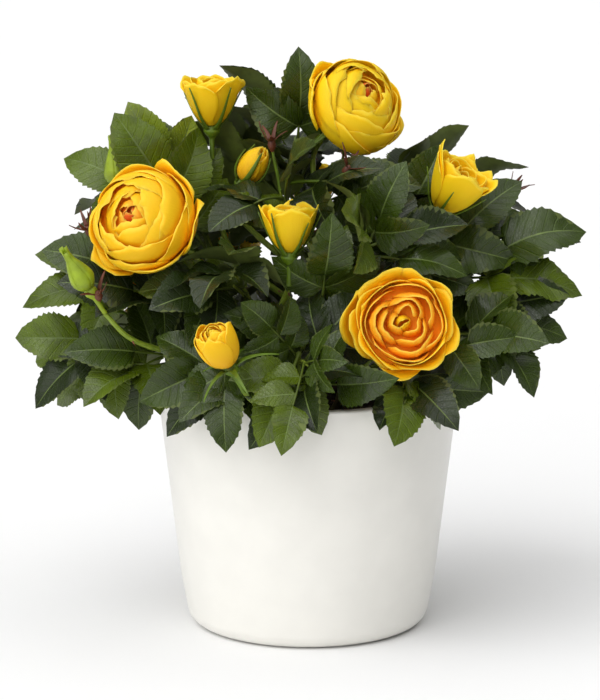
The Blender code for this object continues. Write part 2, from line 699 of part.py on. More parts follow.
def grow_leaves(thicket, rng, name, mass, path):
    """The leaves of one mass, along its shoot's path."""
    pieces = []
    shoot = shoot_name(name)
    wanted = len(mass.leads) + mass.fillers
    for number, tip in enumerate(leaf_tips(mass, rng)):
        if len(pieces) == wanted:
            break
        share = 1 - (ROOT_START + ROOT_STEP * number) % ROOT_SPAN if number else FIRST_ROOT
        spot = share * (SHOOT_RINGS - 1)
        low = min(int(spot), SHOOT_RINGS - 2)
        root = path[low].lerp(path[low + 1], spot - low)
        if number < len(mass.leads):
            leaf = grow_leaf(thicket, rng, mass, (name, shoot), root, tip, 1, LEAD_STRAY)
        else:
            least = LEAFLETS_LEAST if number < FILLER_TRIES / 2 else LEAFLETS_LEAST - 1
            leaf = grow_leaf(thicket, rng, mass, (shoot,), root, tip, least, FILLER_STRAY)
        if leaf is not None:
            pieces.append(leaf_shape(*leaf))
            thicket.add(pieces[-1], name)
    return pieces


# ------------------------------------------------------------------------- Blender's objects

def material(name):
    """The Principled material of a part, made once."""
    made = bpy.data.materials.get(name)
    if made is None:
        made = bpy.data.materials.new(name)
        made.use_nodes = True
        colour, roughness = COLOURS[name]
        shader = made.node_tree.nodes["Principled BSDF"]
        shader.inputs["Base Color"].default_value = (*colour, 1)
        shader.inputs["Roughness"].default_value = roughness
        made.diffuse_color = (*colour, 1)
    return made


def make_object(name, shape, look, smooth=False):
    """One closed mesh object."""
    mesh = bpy.data.meshes.new(name)
    mesh.from_pydata(shape[0], [], shape[1])
    bm = bmesh.new()
    bm.from_mesh(mesh)
    bmesh.ops.recalc_face_normals(bm, faces=bm.faces)
    bm.to_mesh(mesh)
    bm.free()
    if smooth:
        mesh.shade_smooth()
        mesh.set_sharp_from_angle(angle=math.radians(35))
    mesh.materials.append(material(look))
    made = bpy.data.objects.new(name, mesh)
    bpy.context.scene.collection.objects.link(made)
    return made


def keep_largest(mesh):
    """Drop all but the largest surface, and return whether that one is closed.

    This fills sealed hollows and drops loose scraps.
    """
    bm = bmesh.new()
    bm.from_mesh(mesh)
    waiting = set(bm.verts)
    islands = []
    while waiting:
        island = []
        front = [waiting.pop()]
        while front:
            vert = front.pop()
            island.append(vert)
            for edge in vert.link_edges:
                other = edge.other_vert(vert)
                if other in waiting:
                    waiting.remove(other)
                    front.append(other)
        islands.append(island)
    islands.sort(key=len)
    for island in islands[:-1]:
        bmesh.ops.delete(bm, geom=island, context="VERTS")
    closed = all(edge.is_manifold for edge in bm.edges)
    bm.to_mesh(mesh)
    bm.free()
    return closed


def join_pieces(name, shapes, look):
    """One solid from shapes that overlap: a union on a collection, applied.

    Where two leaves lie so that the exact solver leaves an open edge, the manifold one joins.
    """
    body = make_object(name, shapes[0], look)
    others = bpy.data.collections.new(name + "_pieces")
    bpy.context.scene.collection.children.link(others)
    for number, shape in enumerate(shapes[1:]):
        piece = make_object(f"{name}_piece_{number}", shape, look)
        bpy.context.scene.collection.objects.unlink(piece)
        others.objects.link(piece)
    union = body.modifiers.new("union", "BOOLEAN")
    union.operation = "UNION"
    union.operand_type = "COLLECTION"
    union.collection = others
    for solver in ("EXACT", "MANIFOLD"):
        union.solver = solver
        bpy.context.view_layer.update()
        graph = bpy.context.evaluated_depsgraph_get()
        joined = bpy.data.meshes.new_from_object(body.evaluated_get(graph))
        if keep_largest(joined):
            break
    body.modifiers.clear()
    body.data = joined
    for piece in list(others.objects):
        bpy.data.objects.remove(piece)
    bpy.data.collections.remove(others)
    return body


def arc(centre, radius, start, end, steps):
    """(radius, height) points round an arc of the pot's profile, angles in degrees."""
    points = []
    for i in range(steps + 1):
        angle = math.radians(start + (end - start) * i / steps)
        points.append((centre[0] + radius * math.cos(angle),
                       centre[1] + radius * math.sin(angle)))
    return points


def circle(radius, height, sectors):
    return [place(360 * k / sectors, radius, height) for k in range(sectors)]


def pot_inside(height):
    """Radius of the pot's inner wall at a height."""
    slope = (POT_RIM_RADIUS - POT_FOOT_RADIUS) / POT_HEIGHT
    return POT_FOOT_RADIUS + slope * height - POT_WALL


def make_pot(thicket):
    """A tapered white pot with a rounded foot and rim."""
    lean = math.degrees(math.atan2(POT_RIM_RADIUS - POT_FOOT_RADIUS, POT_HEIGHT))
    profile = arc((POT_FOOT_RADIUS - POT_FOOT_ROUND, POT_FOOT_ROUND), POT_FOOT_ROUND,
                  -90, -lean, 3)
    profile += arc((POT_RIM_RADIUS - POT_RIM_ROUND, POT_HEIGHT - POT_RIM_ROUND),
                   POT_RIM_ROUND, -lean, 90, 1)
    inner_rim = pot_inside(POT_HEIGHT)
    profile += arc((inner_rim + POT_RIM_ROUND, POT_HEIGHT - POT_RIM_ROUND), POT_RIM_ROUND,
                   90, 180, 1)
    profile.append((pot_inside(POT_FLOOR), POT_FLOOR))
    rings = [circle(radius, height, POT_SECTORS) for radius, height in profile]
    rings.append(Vector((0, 0, POT_FLOOR)))
    shape = turned(rings, POT_SECTORS)
    make_object("pot", shape, "pot", smooth=True)
    thicket.add(shape, "pot")


def make_compost(thicket):
    """The compost that fills the pot, clear of its wall and floor."""
    low = POT_FLOOR + GAP
    rings = [circle(pot_inside(low) - 3 * GAP, low, SOIL_SECTORS),
             circle(pot_inside(SOIL_LEVEL) - 3 * GAP, SOIL_LEVEL, SOIL_SECTORS),
             Vector((0, 0, SOIL_LEVEL))]
    shape = turned(rings, SOIL_SECTORS)
    make_object("compost", shape, "compost")
    thicket.add(shape, "compost")


def make_canes(thicket):
    for name, cane in CANES.items():
        make_object(name, cane_shape(cane), "bark", smooth=True)
        thicket.add(cane_shape(cane), name)


def make_flowers(thicket):
    """Each flower or bud with its hip, sepals and a short piece of stem."""
    for name, flower in FLOWERS.items():
        body = turned(head_rings(flower), HEADS[flower.kind].sectors)
        look = "green_bud" if flower.kind == "green_bud" else "petals"
        shapes = [body] + sepal_shapes(flower)
        join_pieces(name, shapes, look)
        for shape in shapes:
            thicket.add(shape, name)


def make_stems(thicket, rng):
    """The tapering stem from a cane to the foot of each flower's twig."""
    for name, flower in FLOWERS.items():
        axis = flower_axis(flower)
        stem = "stem_of_" + name
        end = twig_foot(flower) - axis * GAP
        path, ends = grow_limb(thicket, rng, flower.host, flower.leaves_at, end, axis,
                               (STEM_RADIUS, NECK_RADIUS), STEM_SIDES, STEM_RINGS, stem)
        shape = tube(path, taper(STEM_RADIUS, NECK_RADIUS, STEM_RINGS), STEM_SIDES, ends=ends)
        make_object(stem, shape, "bark", smooth=True)
        thicket.add(shape, stem)


def make_masses(thicket, rng):
    """The leafy shoots: all the shoots first, then each one's leaves between them."""
    shoots = {name: grow_shoot(thicket, rng, name, mass) for name, mass in MASSES.items()}
    for name, mass in MASSES.items():
        path, shape = shoots[name]
        join_pieces(name, [shape] + grow_leaves(thicket, rng, name, mass, path), "leaf")


def main():
    for old in list(bpy.data.objects):
        bpy.data.objects.remove(old)
    rng = random.Random(SEED)
    thicket = Thicket()
    make_pot(thicket)
    make_compost(thicket)
    make_canes(thicket)
    make_flowers(thicket)
    make_stems(thicket, rng)
    make_masses(thicket, rng)


main()
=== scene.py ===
import math
import random
from collections import namedtuple

import bpy
import numpy as np
from bpy.props import FloatProperty, FloatVectorProperty, IntProperty, PointerProperty
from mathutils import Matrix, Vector, noise
from mathutils.bvhtree import BVHTree


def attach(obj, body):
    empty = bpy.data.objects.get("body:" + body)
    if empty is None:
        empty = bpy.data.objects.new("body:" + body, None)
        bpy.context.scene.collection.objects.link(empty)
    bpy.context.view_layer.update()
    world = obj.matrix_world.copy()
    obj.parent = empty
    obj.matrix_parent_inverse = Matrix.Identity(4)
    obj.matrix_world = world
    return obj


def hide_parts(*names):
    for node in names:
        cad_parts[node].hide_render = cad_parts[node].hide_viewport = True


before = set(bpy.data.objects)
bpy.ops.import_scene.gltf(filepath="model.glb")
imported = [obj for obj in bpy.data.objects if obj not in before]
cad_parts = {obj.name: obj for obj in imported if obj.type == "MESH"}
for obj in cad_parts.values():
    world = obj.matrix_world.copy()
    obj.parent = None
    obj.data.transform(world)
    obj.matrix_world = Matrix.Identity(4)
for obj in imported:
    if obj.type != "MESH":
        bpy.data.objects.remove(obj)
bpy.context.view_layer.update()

bl_info = {
    "name": "Potted Rose Bush",
    "version": (1, 0, 0),
    "blender": (4, 5, 0),
    "location": "3D View > Sidebar > Rose Bush",
    "description": "Builds a potted miniature rose bush and its stage",
    "category": "Object",
}

# A place is (azimuth in degrees from +X towards +Y, reach from the pot's axis, height).
# The plant's front faces -Y.

# ======== the rule that the plant grows by

GAP = 0.0003  # clear space between neighbouring pieces
SEED = 1

# Pot and compost
POT_HEIGHT = 0.115
POT_FOOT_RADIUS = 0.0562
POT_RIM_RADIUS = 0.070
POT_WALL = 0.0045
POT_FLOOR = 0.006
POT_FOOT_ROUND = 0.0088
POT_RIM_ROUND = 0.0012
SOIL_DEPTH_BELOW_RIM = 0.015
SOIL_LEVEL = POT_HEIGHT - SOIL_DEPTH_BELOW_RIM

# Limbs
CANE_SIDES = 8
CANE_RINGS = 6
CANE_FOOT_RADIUS = 0.0027
CANE_TIP_RADIUS = 0.0016
CANE_FLARE = 1.35  # how much wider a cane is where it leaves the compost
CANE_RISE = 0.35  # upright for this share of its rise
CANE_LEAN, CANE_SAG = 0.25, 0.10  # then it slants to its tip and sags a little
LIMB_OUT, LIMB_UP = 0.8, 0.6  # how a limb leaves its cane's side
LIMB_HOLDS = (0.33, 0.36)  # how long it keeps its ends' headings, per length
LIMB_SIDE = Vector((0.31, 0.87, 0.11))  # no limb runs along this
STEM_SIDES = 5
STEM_RINGS = 6
STEM_RADIUS = 0.0014
NECK_RADIUS = 0.0011  # where a flower stem ends
SHOOT_RADIUS = 0.0016
SHOOT_TIP_RADIUS = 0.0012
SHOOT_RINGS = 5
SHOOT_AIM_REACH, SHOOT_AIM_DROP = 0.020, 0.030  # a shoot's tip points away from here
TWIG_SIDES = 3

# Leaves
LEAF_LENGTH = (0.050, 0.098)  # of a whole leaf, from shoot to tip
LEAFLET_SHARE = 0.44  # end leaflet's length, per leaf
LEAFLET_LENGTH = (0.030, 0.042)
LEAFLET_WIDTH = 0.54  # per length
LEAFLET_THICK = 0.0006
LEAFLET_FOLD = 0.16  # rise of its edge over its midrib, per width
LEAFLET_DROOP = 0.10  # fall of the tip, per length
LEAFLET_CHEEK, LEAFLET_SHOULDER = (0.90, 0.28), (0.82, 0.60)  # (half widths, lengths)
SHOULDER_RISE = 0.9  # of the fold's rise
LEAFLET_CREST = 0.42  # where it is thickest, per length
ROOT_WIDTH = 0.0014  # of a leaflet's root, along its stalk
SHORT_LEAF = 0.066  # a shorter leaf has one pair of leaflets
PAIR_PLACES = (0.40, 0.78)  # where pairs of leaflets stand along the stalk
PAIR_SIZES = (0.80, 0.94)
PAIR_ANGLE = math.radians(66)
RACHIS_RADII = (0.0008, 0.0007)
RACHIS_RISE, RACHIS_SAG = 0.10, 0.55  # a stalk's bow per length, and what its tip loses of it
RACHIS_TOP = 0.5  # height of its upper edges, per radius
LEAF_FACING_SHARE = 0.7  # a leaf faces as suits this share of its length
LEAF_TRIES = 8
FILLER_TRIES = 60
LEAFLETS_LEAST = 3
RIM_CLEAR = 0.002  # leaves keep this far from the pot
LEAD_STRAY, FILLER_STRAY = 0.0008, 0.0022  # how far each further try may miss its aim
LIMB_TRIES = 60
LIMB_OFFSET = CANE_FOOT_RADIUS + 0.0012  # from a cane's middle to a limb beside it
# How far each further try starts outward, turns round the cane and swerves on its way
LIMB_OFFSET_STEP, LIMB_TURN, LIMB_SWERVE = 0.00012, 0.0006, 0.0005

# A whole leaf's chance differences
LEAF_SWAY = 0.16
SIDE_ANGLE_SPREAD = 0.14
SIDE_SIZES = (0.92, 1.04)
SIDE_DROOP = 0.12  # how far the side leaflets point down
SIDE_TILT = 0.10
SIDE_SWAY = 0.12

# How far a leaf may stand out of its mass's space, and what it leaves open
SPACE_SPARE = 0.012
SPACE_SPARE_ABOVE = 0.006
SPACE_SPARE_TURN = 12
CORE_REACH = 0.030  # nearer the axis than this, a leaf may face any way
OUTLOOK_LIFT = 0.22  # flowers are seen from the front or back, a little above
FACE_DEPTH = 0.2  # a flower's face starts this far behind its middle, per radius
OPEN_HEAD_RAISE = 0.2  # a closed head's middle lies this far up, per radius

# Where the leaves go
FILLER_REACH, FILLER_RISE = (0.66, 0.98), (0.12, 0.92)  # shares of its reach and height
FILLER_START = (0.31, 0.17)
FIRST_ROOT = 0.98  # share of the shoot's length where the first leaf stands
ROOT_START = 0.02
ROOT_STEP = 0.23
ROOT_SPAN = 0.7

# Crown: leaves turn their upper side away from this point
CROWN_HEART = Vector((0.0, 0.010, 0.135))
CROWN_GIRTH = (0.125, 0.115, 0.100)
LEAF_TURN = 0.60  # how far the leaves turn to the front or the back
LEAF_LIFT = 0.40  # how far they turn up
GOLDEN = (math.sqrt(5) - 1) / 2

Cane = namedtuple("Cane", "foot tip")
Flower = namedtuple("Flower", "kind radius place facing host leaves_at")
Mass = namedtuple("Mass", "host leaves_at shoot azimuths heights reach leads fillers")

CANES = {  # (azimuth, reach) of the foot, and the place of the tip
    "cane_left": Cane((200, 0.024), (203, 0.046, 0.160)),
    "cane_front": Cane((256, 0.022), (250, 0.038, 0.150)),
    "cane_front_right": Cane((292, 0.030), (295, 0.054, 0.128)),
    "cane_right": Cane((330, 0.024), (330, 0.042, 0.165)),
    "cane_rear_right": Cane((48, 0.024), (50, 0.046, 0.150)),
    "cane_rear_left": Cane((128, 0.024), (130, 0.046, 0.150)),
    "cane_centre": Cane((10, 0.004), (350, 0.006, 0.180)),
}

# Each kind of flower: its middle's height and its clear room, per radius, its hip's radius, its
# sepals' length, half width and the share of it along their middle, its blossom, each zone's
# petal material, and the form of its loose outer petals
Kind = namedtuple("Kind", "middle room hip sepal sepal_width sepal_waist blossom palette guard")
KINDS = {
    "bloom": Kind(0.84, 0.95, 0.0045, 0.016, 0.0021, 0.7, "ball", (1, 1, 2, 3),
        dict(spread=0.62, belly=0.95, rim=1.02, shoulder=0.72, roll=0.07)),
    "half_open": Kind(0.90, 0.95, 0.0040, 0.021, 0.0013, 0.5, "opening", (0, 0, 1, 2),
        dict(spread=0.72, belly=0.84, rim=0.98, shoulder=0.70, roll=0.05)),
    "bud": Kind(1.15, 1.4, 0.0036, 0.0195, 0.0018, 0.7, "bud", (1, 1, 2, 3), None),
    "green_bud": Kind(1.60, 1.4, 0.0032, 0.021, 0.0024, 1.0, None, None, None),
}
GREEN_BUD_PROFILE = (  # (radius, height) from base to tip, per radius
    (0.42, 0.00), (0.95, 0.60), (1.00, 1.30), (0.66, 2.30), (0.24, 3.20), (0.10, 4.00),
)
TWIG_LENGTH = 0.009  # the flower's own piece of stem
HIP_LENGTH = 0.0055
HIP_OUTLINE = (  # (depth, radius) from below, per length and greatest radius of the hip
    (0.80, 0.68), (0.50, 0.96), (0.20, 0.90), (0.0, 0.74),
)
SEPALS = 5
SEPAL_THICK = 0.0005
SEPAL_DROP = 0.0014  # of their roots below the petals

FLOWERS = {  # place of the flower's middle; facing as (azimuth, lift)
    "bloom_left": Flower("bloom", 0.0262, (210, 0.089, 0.199), (242, 24), "cane_left", None),
    "bloom_top": Flower("bloom", 0.0232, (346, 0.026, 0.244), (313, 36), "cane_centre", None),
    "bloom_right": Flower("bloom", 0.0262, (300, 0.086, 0.157), (272, 16),
      "cane_front_right", None),
    "half_open_top_left": Flower("half_open", 0.0148, (180, 0.0440, 0.2455), (268, 80),
      "cane_centre", 0.158),
    "half_open_middle": Flower("half_open", 0.0142, (261, 0.054, 0.196), (272, 74),
      "cane_front", None),
    "half_open_right": Flower("half_open", 0.0160, (338, 0.072, 0.210), (334, 56),
      "cane_right", None),
    "bud_middle": Flower("bud", 0.0082, (204, 0.027, 0.217), (340, 58), "cane_centre", 0.142),
    "bud_low_left": Flower("bud", 0.0098, (245, 0.094, 0.149), (212, 60), "cane_front", 0.126),
    "green_bud_high": Flower("green_bud", 0.0050, (186, 0.088, 0.215), (190, 82),
      "cane_left", 0.146),
    "green_bud_low": Flower("green_bud", 0.0050, (206, 0.114, 0.174), (196, 58),
      "cane_left", 0.128),
    "bloom_rear_left": Flower("bloom", 0.0250, (124, 0.084, 0.172), (124, 34),
      "cane_rear_left", None),
    "bloom_rear_right": Flower("bloom", 0.0255, (50, 0.086, 0.166), (48, 28),
      "cane_rear_right", None),
    "half_open_rear": Flower("half_open", 0.0140, (88, 0.058, 0.196), (90, 70),
      "cane_rear_right", 0.130),
    "bud_rear": Flower("bud", 0.0085, (152, 0.098, 0.152), (150, 55), "cane_rear_left", 0.124),
}

# Leafy shoots: where each leaves its cane, its tip, the space it keeps to, the tips of its
# leading leaves and how many leaves fill the rest
MASSES = {
    "leaves_top": Mass("cane_centre", 0.168, (110, 0.018, 0.214), (50, 215), (0.190, 0.270),
      0.060, ((115, 0.006, 0.266), (160, 0.040, 0.243)), 6),
    "leaves_top_right": Mass("cane_right", 0.150, (5, 0.040, 0.190), (-30, 60), (0.178, 0.240),
      0.100, ((18, 0.076, 0.230), (8, 0.100, 0.217), (356, 0.062, 0.224)), 6),
    "leaves_left_high": Mass("cane_left", 0.154, (178, 0.052, 0.190), (150, 212), (0.176, 0.248),
      0.108, ((180, 0.083, 0.243), (175, 0.112, 0.220), (176, 0.070, 0.236)), 5),
    "leaves_left_middle": Mass("cane_left", 0.138, (176, 0.062, 0.160), (150, 214),
      (0.126, 0.192), 0.128, ((178, 0.126, 0.172), (184, 0.131, 0.155)), 6),
    "leaves_left_low": Mass("cane_left", 0.116, (191, 0.082, 0.144), (164, 222), (0.100, 0.150),
      0.127, ((192, 0.130, 0.110), (187, 0.135, 0.136), (206, 0.112, 0.115)), 6),
    "leaves_front_left": Mass("cane_front", 0.118, (236, 0.064, 0.142), (206, 258),
      (0.099, 0.164), 0.098, ((246, 0.094, 0.103), (219, 0.097, 0.119), (236, 0.097, 0.119)),
      5),
    "leaves_front": Mass("cane_front", 0.112, (266, 0.060, 0.140), (242, 294), (0.102, 0.164),
      0.095, ((257, 0.092, 0.109), (272, 0.092, 0.116)), 6),
    "leaves_front_right": Mass("cane_front_right", 0.110, (312, 0.064, 0.136), (280, 342),
      (0.102, 0.148), 0.098, ((295, 0.094, 0.107), (310, 0.096, 0.116), (328, 0.094, 0.119)),
      5),
    "leaves_right_low": Mass("cane_right", 0.120, (352, 0.076, 0.150), (326, 380), (0.110, 0.166),
      0.116, ((347, 0.103, 0.116), (352, 0.120, 0.142), (330, 0.092, 0.122)), 6),
    "leaves_right_middle": Mass("cane_right", 0.140, (1, 0.066, 0.176), (328, 384),
      (0.150, 0.212), 0.122, ((4, 0.126, 0.180), (0, 0.122, 0.203), (356, 0.122, 0.166)), 6),
    "leaves_middle": Mass("cane_front", 0.128, (278, 0.036, 0.154), (222, 322), (0.132, 0.206),
      0.072, ((250, 0.066, 0.168), (285, 0.066, 0.160)), 5),
    "leaves_middle_left": Mass("cane_front", 0.142, (228, 0.050, 0.172), (205, 262),
      (0.142, 0.206), 0.088, ((240, 0.088, 0.172), (222, 0.094, 0.160)), 4),
    "leaves_middle_right": Mass("cane_right", 0.158, (300, 0.046, 0.184), (262, 345),
      (0.150, 0.222), 0.084, ((285, 0.072, 0.204), (322, 0.088, 0.178)), 7),
    "leaves_middle_top": Mass("cane_centre", 0.176, (235, 0.022, 0.206), (190, 345),
      (0.184, 0.238), 0.062, ((240, 0.046, 0.228), (310, 0.050, 0.222)), 6),
    "leaves_rear_left_low": Mass("cane_rear_left", 0.116, (142, 0.056, 0.132), (118, 172),
      (0.100, 0.156), 0.116, ((158, 0.120, 0.126),), 6),
    "leaves_rear_low": Mass("cane_rear_left", 0.110, (94, 0.054, 0.130), (66, 122),
      (0.100, 0.152), 0.112, ((92, 0.118, 0.120),), 6),
    "leaves_rear_right_low": Mass("cane_rear_right", 0.116, (34, 0.056, 0.134), (12, 70),
      (0.100, 0.156), 0.116, ((24, 0.120, 0.130),), 6),
    "leaves_rear_left": Mass("cane_rear_left", 0.144, (136, 0.058, 0.176), (100, 172),
      (0.144, 0.214), 0.110, ((148, 0.112, 0.188),), 6),
    "leaves_rear_middle": Mass("cane_rear_right", 0.140, (84, 0.044, 0.164), (56, 120),
      (0.146, 0.206), 0.100, ((74, 0.098, 0.176),), 5),
    "leaves_rear_right": Mass("cane_rear_right", 0.146, (36, 0.058, 0.184), (4, 92),
      (0.150, 0.226), 0.110, ((22, 0.112, 0.188), (60, 0.080, 0.214)), 4),
}


# -------- shapes as points and faces

def place(azimuth, reach, height):
    """The point at a place on the plant."""
    angle = math.radians(azimuth)
    return Vector((reach * math.cos(angle), reach * math.sin(angle), height))


def heading(azimuth, lift):
    """The unit vector that points along an azimuth, lifted over the horizontal."""
    rise = math.radians(lift)
    return place(azimuth, math.cos(rise), math.sin(rise))


def bezier(points, t):
    """A point on the cubic through four control points."""
    a, b, c, d = points
    s = 1 - t
    return a * s**3 + b * (3 * s * s * t) + c * (3 * s * t * t) + d * t**3


def upright(along, wish):
    """The unit vector nearest to wish that stands square to along."""
    return (wish - along * wish.dot(along)).normalized()


def tube(points, radii, sides, grow=0.0, ends=None):
    """A closed tapering tube along points; its flat ends face along ends where given."""
    tangents = [(points[min(i + 1, len(points) - 1)] - points[max(i - 1, 0)]).normalized()
                for i in range(len(points))]
    if ends:
        tangents[0], tangents[-1] = ends
    side = upright(tangents[0], LIMB_SIDE)
    verts = []
    for point, tangent, radius in zip(points, tangents, radii):
        side = upright(tangent, side)
        across = tangent.cross(side)
        for k in range(sides):
            turn = 2 * math.pi * k / sides
            spoke = side * math.cos(turn) + across * math.sin(turn)
            verts.append(point + spoke * (radius + grow))
    faces = [tuple(reversed(range(sides)))]
    for ring in range(len(points) - 1):
        for k in range(sides):
            a, b = ring * sides + k, ring * sides + (k + 1) % sides
            faces.append((a, b, b + sides, a + sides))
    faces.append(tuple(range((len(points) - 1) * sides, len(points) * sides)))
    return verts, faces


def blade_points(root, along, up, length, grow=0.0):
    """A blade's rim from its right side round the tip to its left, then its two swellings."""
    across = along.cross(up)
    width = length * LEAFLET_WIDTH
    half = width / 2 + grow

    def at(x, y, z):
        return root + across * x + along * y + up * z

    rise = LEAFLET_FOLD * width
    (cheek, low), (shoulder, high) = LEAFLET_CHEEK, LEAFLET_SHOULDER
    high_rise, crest = SHOULDER_RISE * rise, LEAFLET_CREST * length
    return [at(cheek * half, low * length, rise), at(shoulder * half, high * length, high_rise),
            at(0, length + grow, -LEAFLET_DROOP * length),
            at(-shoulder * half, high * length, high_rise), at(-cheek * half, low * length, rise),
            at(0, crest, LEAFLET_THICK / 2 + grow), at(0, crest, -LEAFLET_THICK / 2 - grow)]


def blade_faces(first, upper, lower):
    """Faces that carry a blade on from its twig.

    first is the blade's first point; upper and lower are the twig's points over and under
    its root, from left to right.
    """
    rim = list(range(first, first + 5))
    faces = []
    for side, middle in ((upper, first + 5), (lower, first + 6)):
        loop = rim + list(side)
        for k in range(len(loop)):
            pair = (loop[k], loop[(k + 1) % len(loop)])
            faces.append((*pair, middle) if middle == first + 5 else (*reversed(pair), middle))
    faces.append((upper[-1], lower[-1], rim[0]))
    faces.append((lower[0], upper[0], rim[-1]))
    return faces


# -------- the growing plant

def ball_round(shape):
    """The middle and radius of a ball round a shape."""
    verts = shape[0]
    middle = sum(verts, Vector()) / len(verts)
    return middle, max((v - middle).length for v in verts)


class Thicket:
    """What has grown so far, for what grows next to keep clear of."""

    def __init__(self):
        self.grown = []

    def add(self, shape, owner):
        self.grown.append((*ball_round(shape), BVHTree.FromPolygons(*shape), owner))

    def touches(self, shape, kin=()):
        """True where the shape meets something whose owner isn't among its kin."""
        middle, spread = ball_round(shape)
        tree = None
        for other_middle, other_spread, other_tree, other_owner in self.grown:
            if other_owner in kin or (other_middle - middle).length > spread + other_spread:
                continue
            tree = tree or BVHTree.FromPolygons(*shape)
            if tree.overlap(other_tree):
                return True
        return False


def cane_path(cane):
    """Points along a cane's middle, from its flat cut at the compost to its tip."""
    foot = place(*cane.foot, SOIL_LEVEL + GAP)
    tip = place(*cane.tip)
    rise = tip.z - foot.z
    controls = (foot, foot + Vector((0, 0, CANE_RISE * rise)),
                tip - (tip - foot) * CANE_LEAN - Vector((0, 0, CANE_SAG * rise)), tip)
    return [bezier(controls, i / (CANE_RINGS - 1)) for i in range(CANE_RINGS)]


def cane_shape(cane):
    """A cane's tapering tube: its foot is flat, level and a little flared."""
    points = cane_path(cane)
    radii = taper(CANE_FOOT_RADIUS, CANE_TIP_RADIUS, CANE_RINGS)
    radii[0] *= CANE_FLARE
    verts, faces = tube(points, radii, CANE_SIDES)
    for v in verts[:CANE_SIDES]:
        v.z = points[0].z
    return verts, faces


def point_at_height(points, height):
    """The point on a rising path at a height, and the path's direction there."""
    for low, high in zip(points, points[1:]):
        if low.z <= height <= high.z:
            share = (height - low.z) / (high.z - low.z)
            return low.lerp(high, share), (high - low).normalized()
    raise ValueError("the cane does not reach that height")


def flower_axis(flower):
    return heading(*flower.facing)


def flower_base(flower):
    """Where the petals leave the hip."""
    middle = KINDS[flower.kind].middle * flower.radius
    return place(*flower.place) - flower_axis(flower) * middle


def twig_foot(flower):
    """The lower end of the flower's own piece of stem."""
    return flower_base(flower) - flower_axis(flower) * (HIP_LENGTH + TWIG_LENGTH)


def limb_path(start, lead, end, arrive, rings):
    """Points along a smooth limb from start, heading along lead, to end, along arrive."""
    reach = (end - start).length
    controls = (start, start + lead * (LIMB_HOLDS[0] * reach),
                end - arrive * (LIMB_HOLDS[1] * reach), end)
    return [bezier(controls, i / (rings - 1)) for i in range(rings)]


def taper(first, last, count):
    return [first + (last - first) * i / (count - 1) for i in range(count)]


def grow_limb(thicket, rng, host, leaves_at, end, arrive, radii, sides, rings, owner):
    """A limb from its cane to end: from the cane's tip, or clear of its side at a height."""
    points = cane_path(CANES[host])
    for attempt in range(LIMB_TRIES):
        if leaves_at is None:
            lead = (points[-1] - points[-2]).normalized()
            start = points[-1] + lead * GAP
        else:
            middle, rising = point_at_height(points, leaves_at)
            out = upright(rising, end - middle + wander(rng, LIMB_TURN * attempt))
            lead = (out * LIMB_OUT + rising * LIMB_UP).normalized()
            start = middle + lead * (LIMB_OFFSET + LIMB_OFFSET_STEP * attempt)
        path = limb_path(start, lead, end, arrive, rings)
        swerve = wander(rng, LIMB_SWERVE * attempt)
        for i in range(1, rings - 1):
            path[i] += swerve * math.sin(math.pi * i / (rings - 1))
        ends = (lead, arrive)
        if not thicket.touches(tube(path, taper(*radii, rings), sides, 0.6 * GAP, ends)):
            return path, ends
    raise ValueError("no clear way for " + owner)


def stray(rng, size):
    """A seeded random amount up to size either way."""
    return rng.uniform(-size, size)


def wander(rng, size):
    """A seeded random step."""
    return Vector([stray(rng, size) for _ in range(3)])


def crown_normal(point):
    """A leaf's upper side turns out of the crown, up, and to the nearer open side."""
    away = point - CROWN_HEART
    out = Vector([away[i] / CROWN_GIRTH[i]**2 for i in range(3)]).normalized()
    open_side = -1 if point.y < CROWN_HEART.y else 1
    return (out + Vector((0, open_side * LEAF_TURN, LEAF_LIFT))).normalized()


def leaf_parts(root, tip, rng):
    """One compound leaf: its stalk's frame and joints, and its leaflets.

    A leaflet is (joint, hand, along, up, length): hand is 1 or -1 for a side leaflet and 0
    for the end one.
    """
    whole = tip - root
    length = whole.length
    along = whole.normalized()
    facing = crown_normal(root.lerp(tip, LEAF_FACING_SHARE))
    up = upright(along, facing + wander(rng, LEAF_SWAY))
    across = along.cross(up)
    end_length = min(max(LEAFLET_SHARE * length, LEAFLET_LENGTH[0]), LEAFLET_LENGTH[1])
    reach = length - end_length

    def on_stalk(share):
        bow = math.sin(math.pi * 0.5 * share) - RACHIS_SAG * share**2
        return root + along * (reach * share) + up * (RACHIS_RISE * length * bow)

    joints = [on_stalk(share) for share in (0, *PAIR_PLACES, 1)]
    end_along = (tip - joints[-1]).normalized()
    leaflets = [(len(joints) - 1, 0, end_along, upright(end_along, up), end_length)]
    for joint, size in zip(range(1, len(joints) - 1), PAIR_SIZES):
        if joint == 1 and length < SHORT_LEAF:
            continue
        for hand in (1, -1):
            angle = PAIR_ANGLE + stray(rng, SIDE_ANGLE_SPREAD)
            way = along * math.cos(angle) + across * (hand * math.sin(angle))
            way = (way - up * SIDE_DROOP).normalized()
            tilt = upright(way, up + across * (hand * SIDE_TILT) + wander(rng, SIDE_SWAY))
            side_length = end_length * size * rng.uniform(*SIDE_SIZES)
            leaflets.append((joint, hand, way, tilt, side_length))
    return (along, up, across), joints, leaflets


def leaflet_shape(joints, leaflet, grow=0.0):
    """A leaflet alone, closed by a short upright edge at its root, to test its room."""
    joint, _, along, up, length = leaflet
    root, reach = joints[joint], LEAFLET_THICK / 2 + grow
    verts = blade_points(root, along, up, length, grow)
    verts += [root + up * reach - along * grow, root - up * reach - along * grow]
    return verts, blade_faces(0, (7,), (8,))


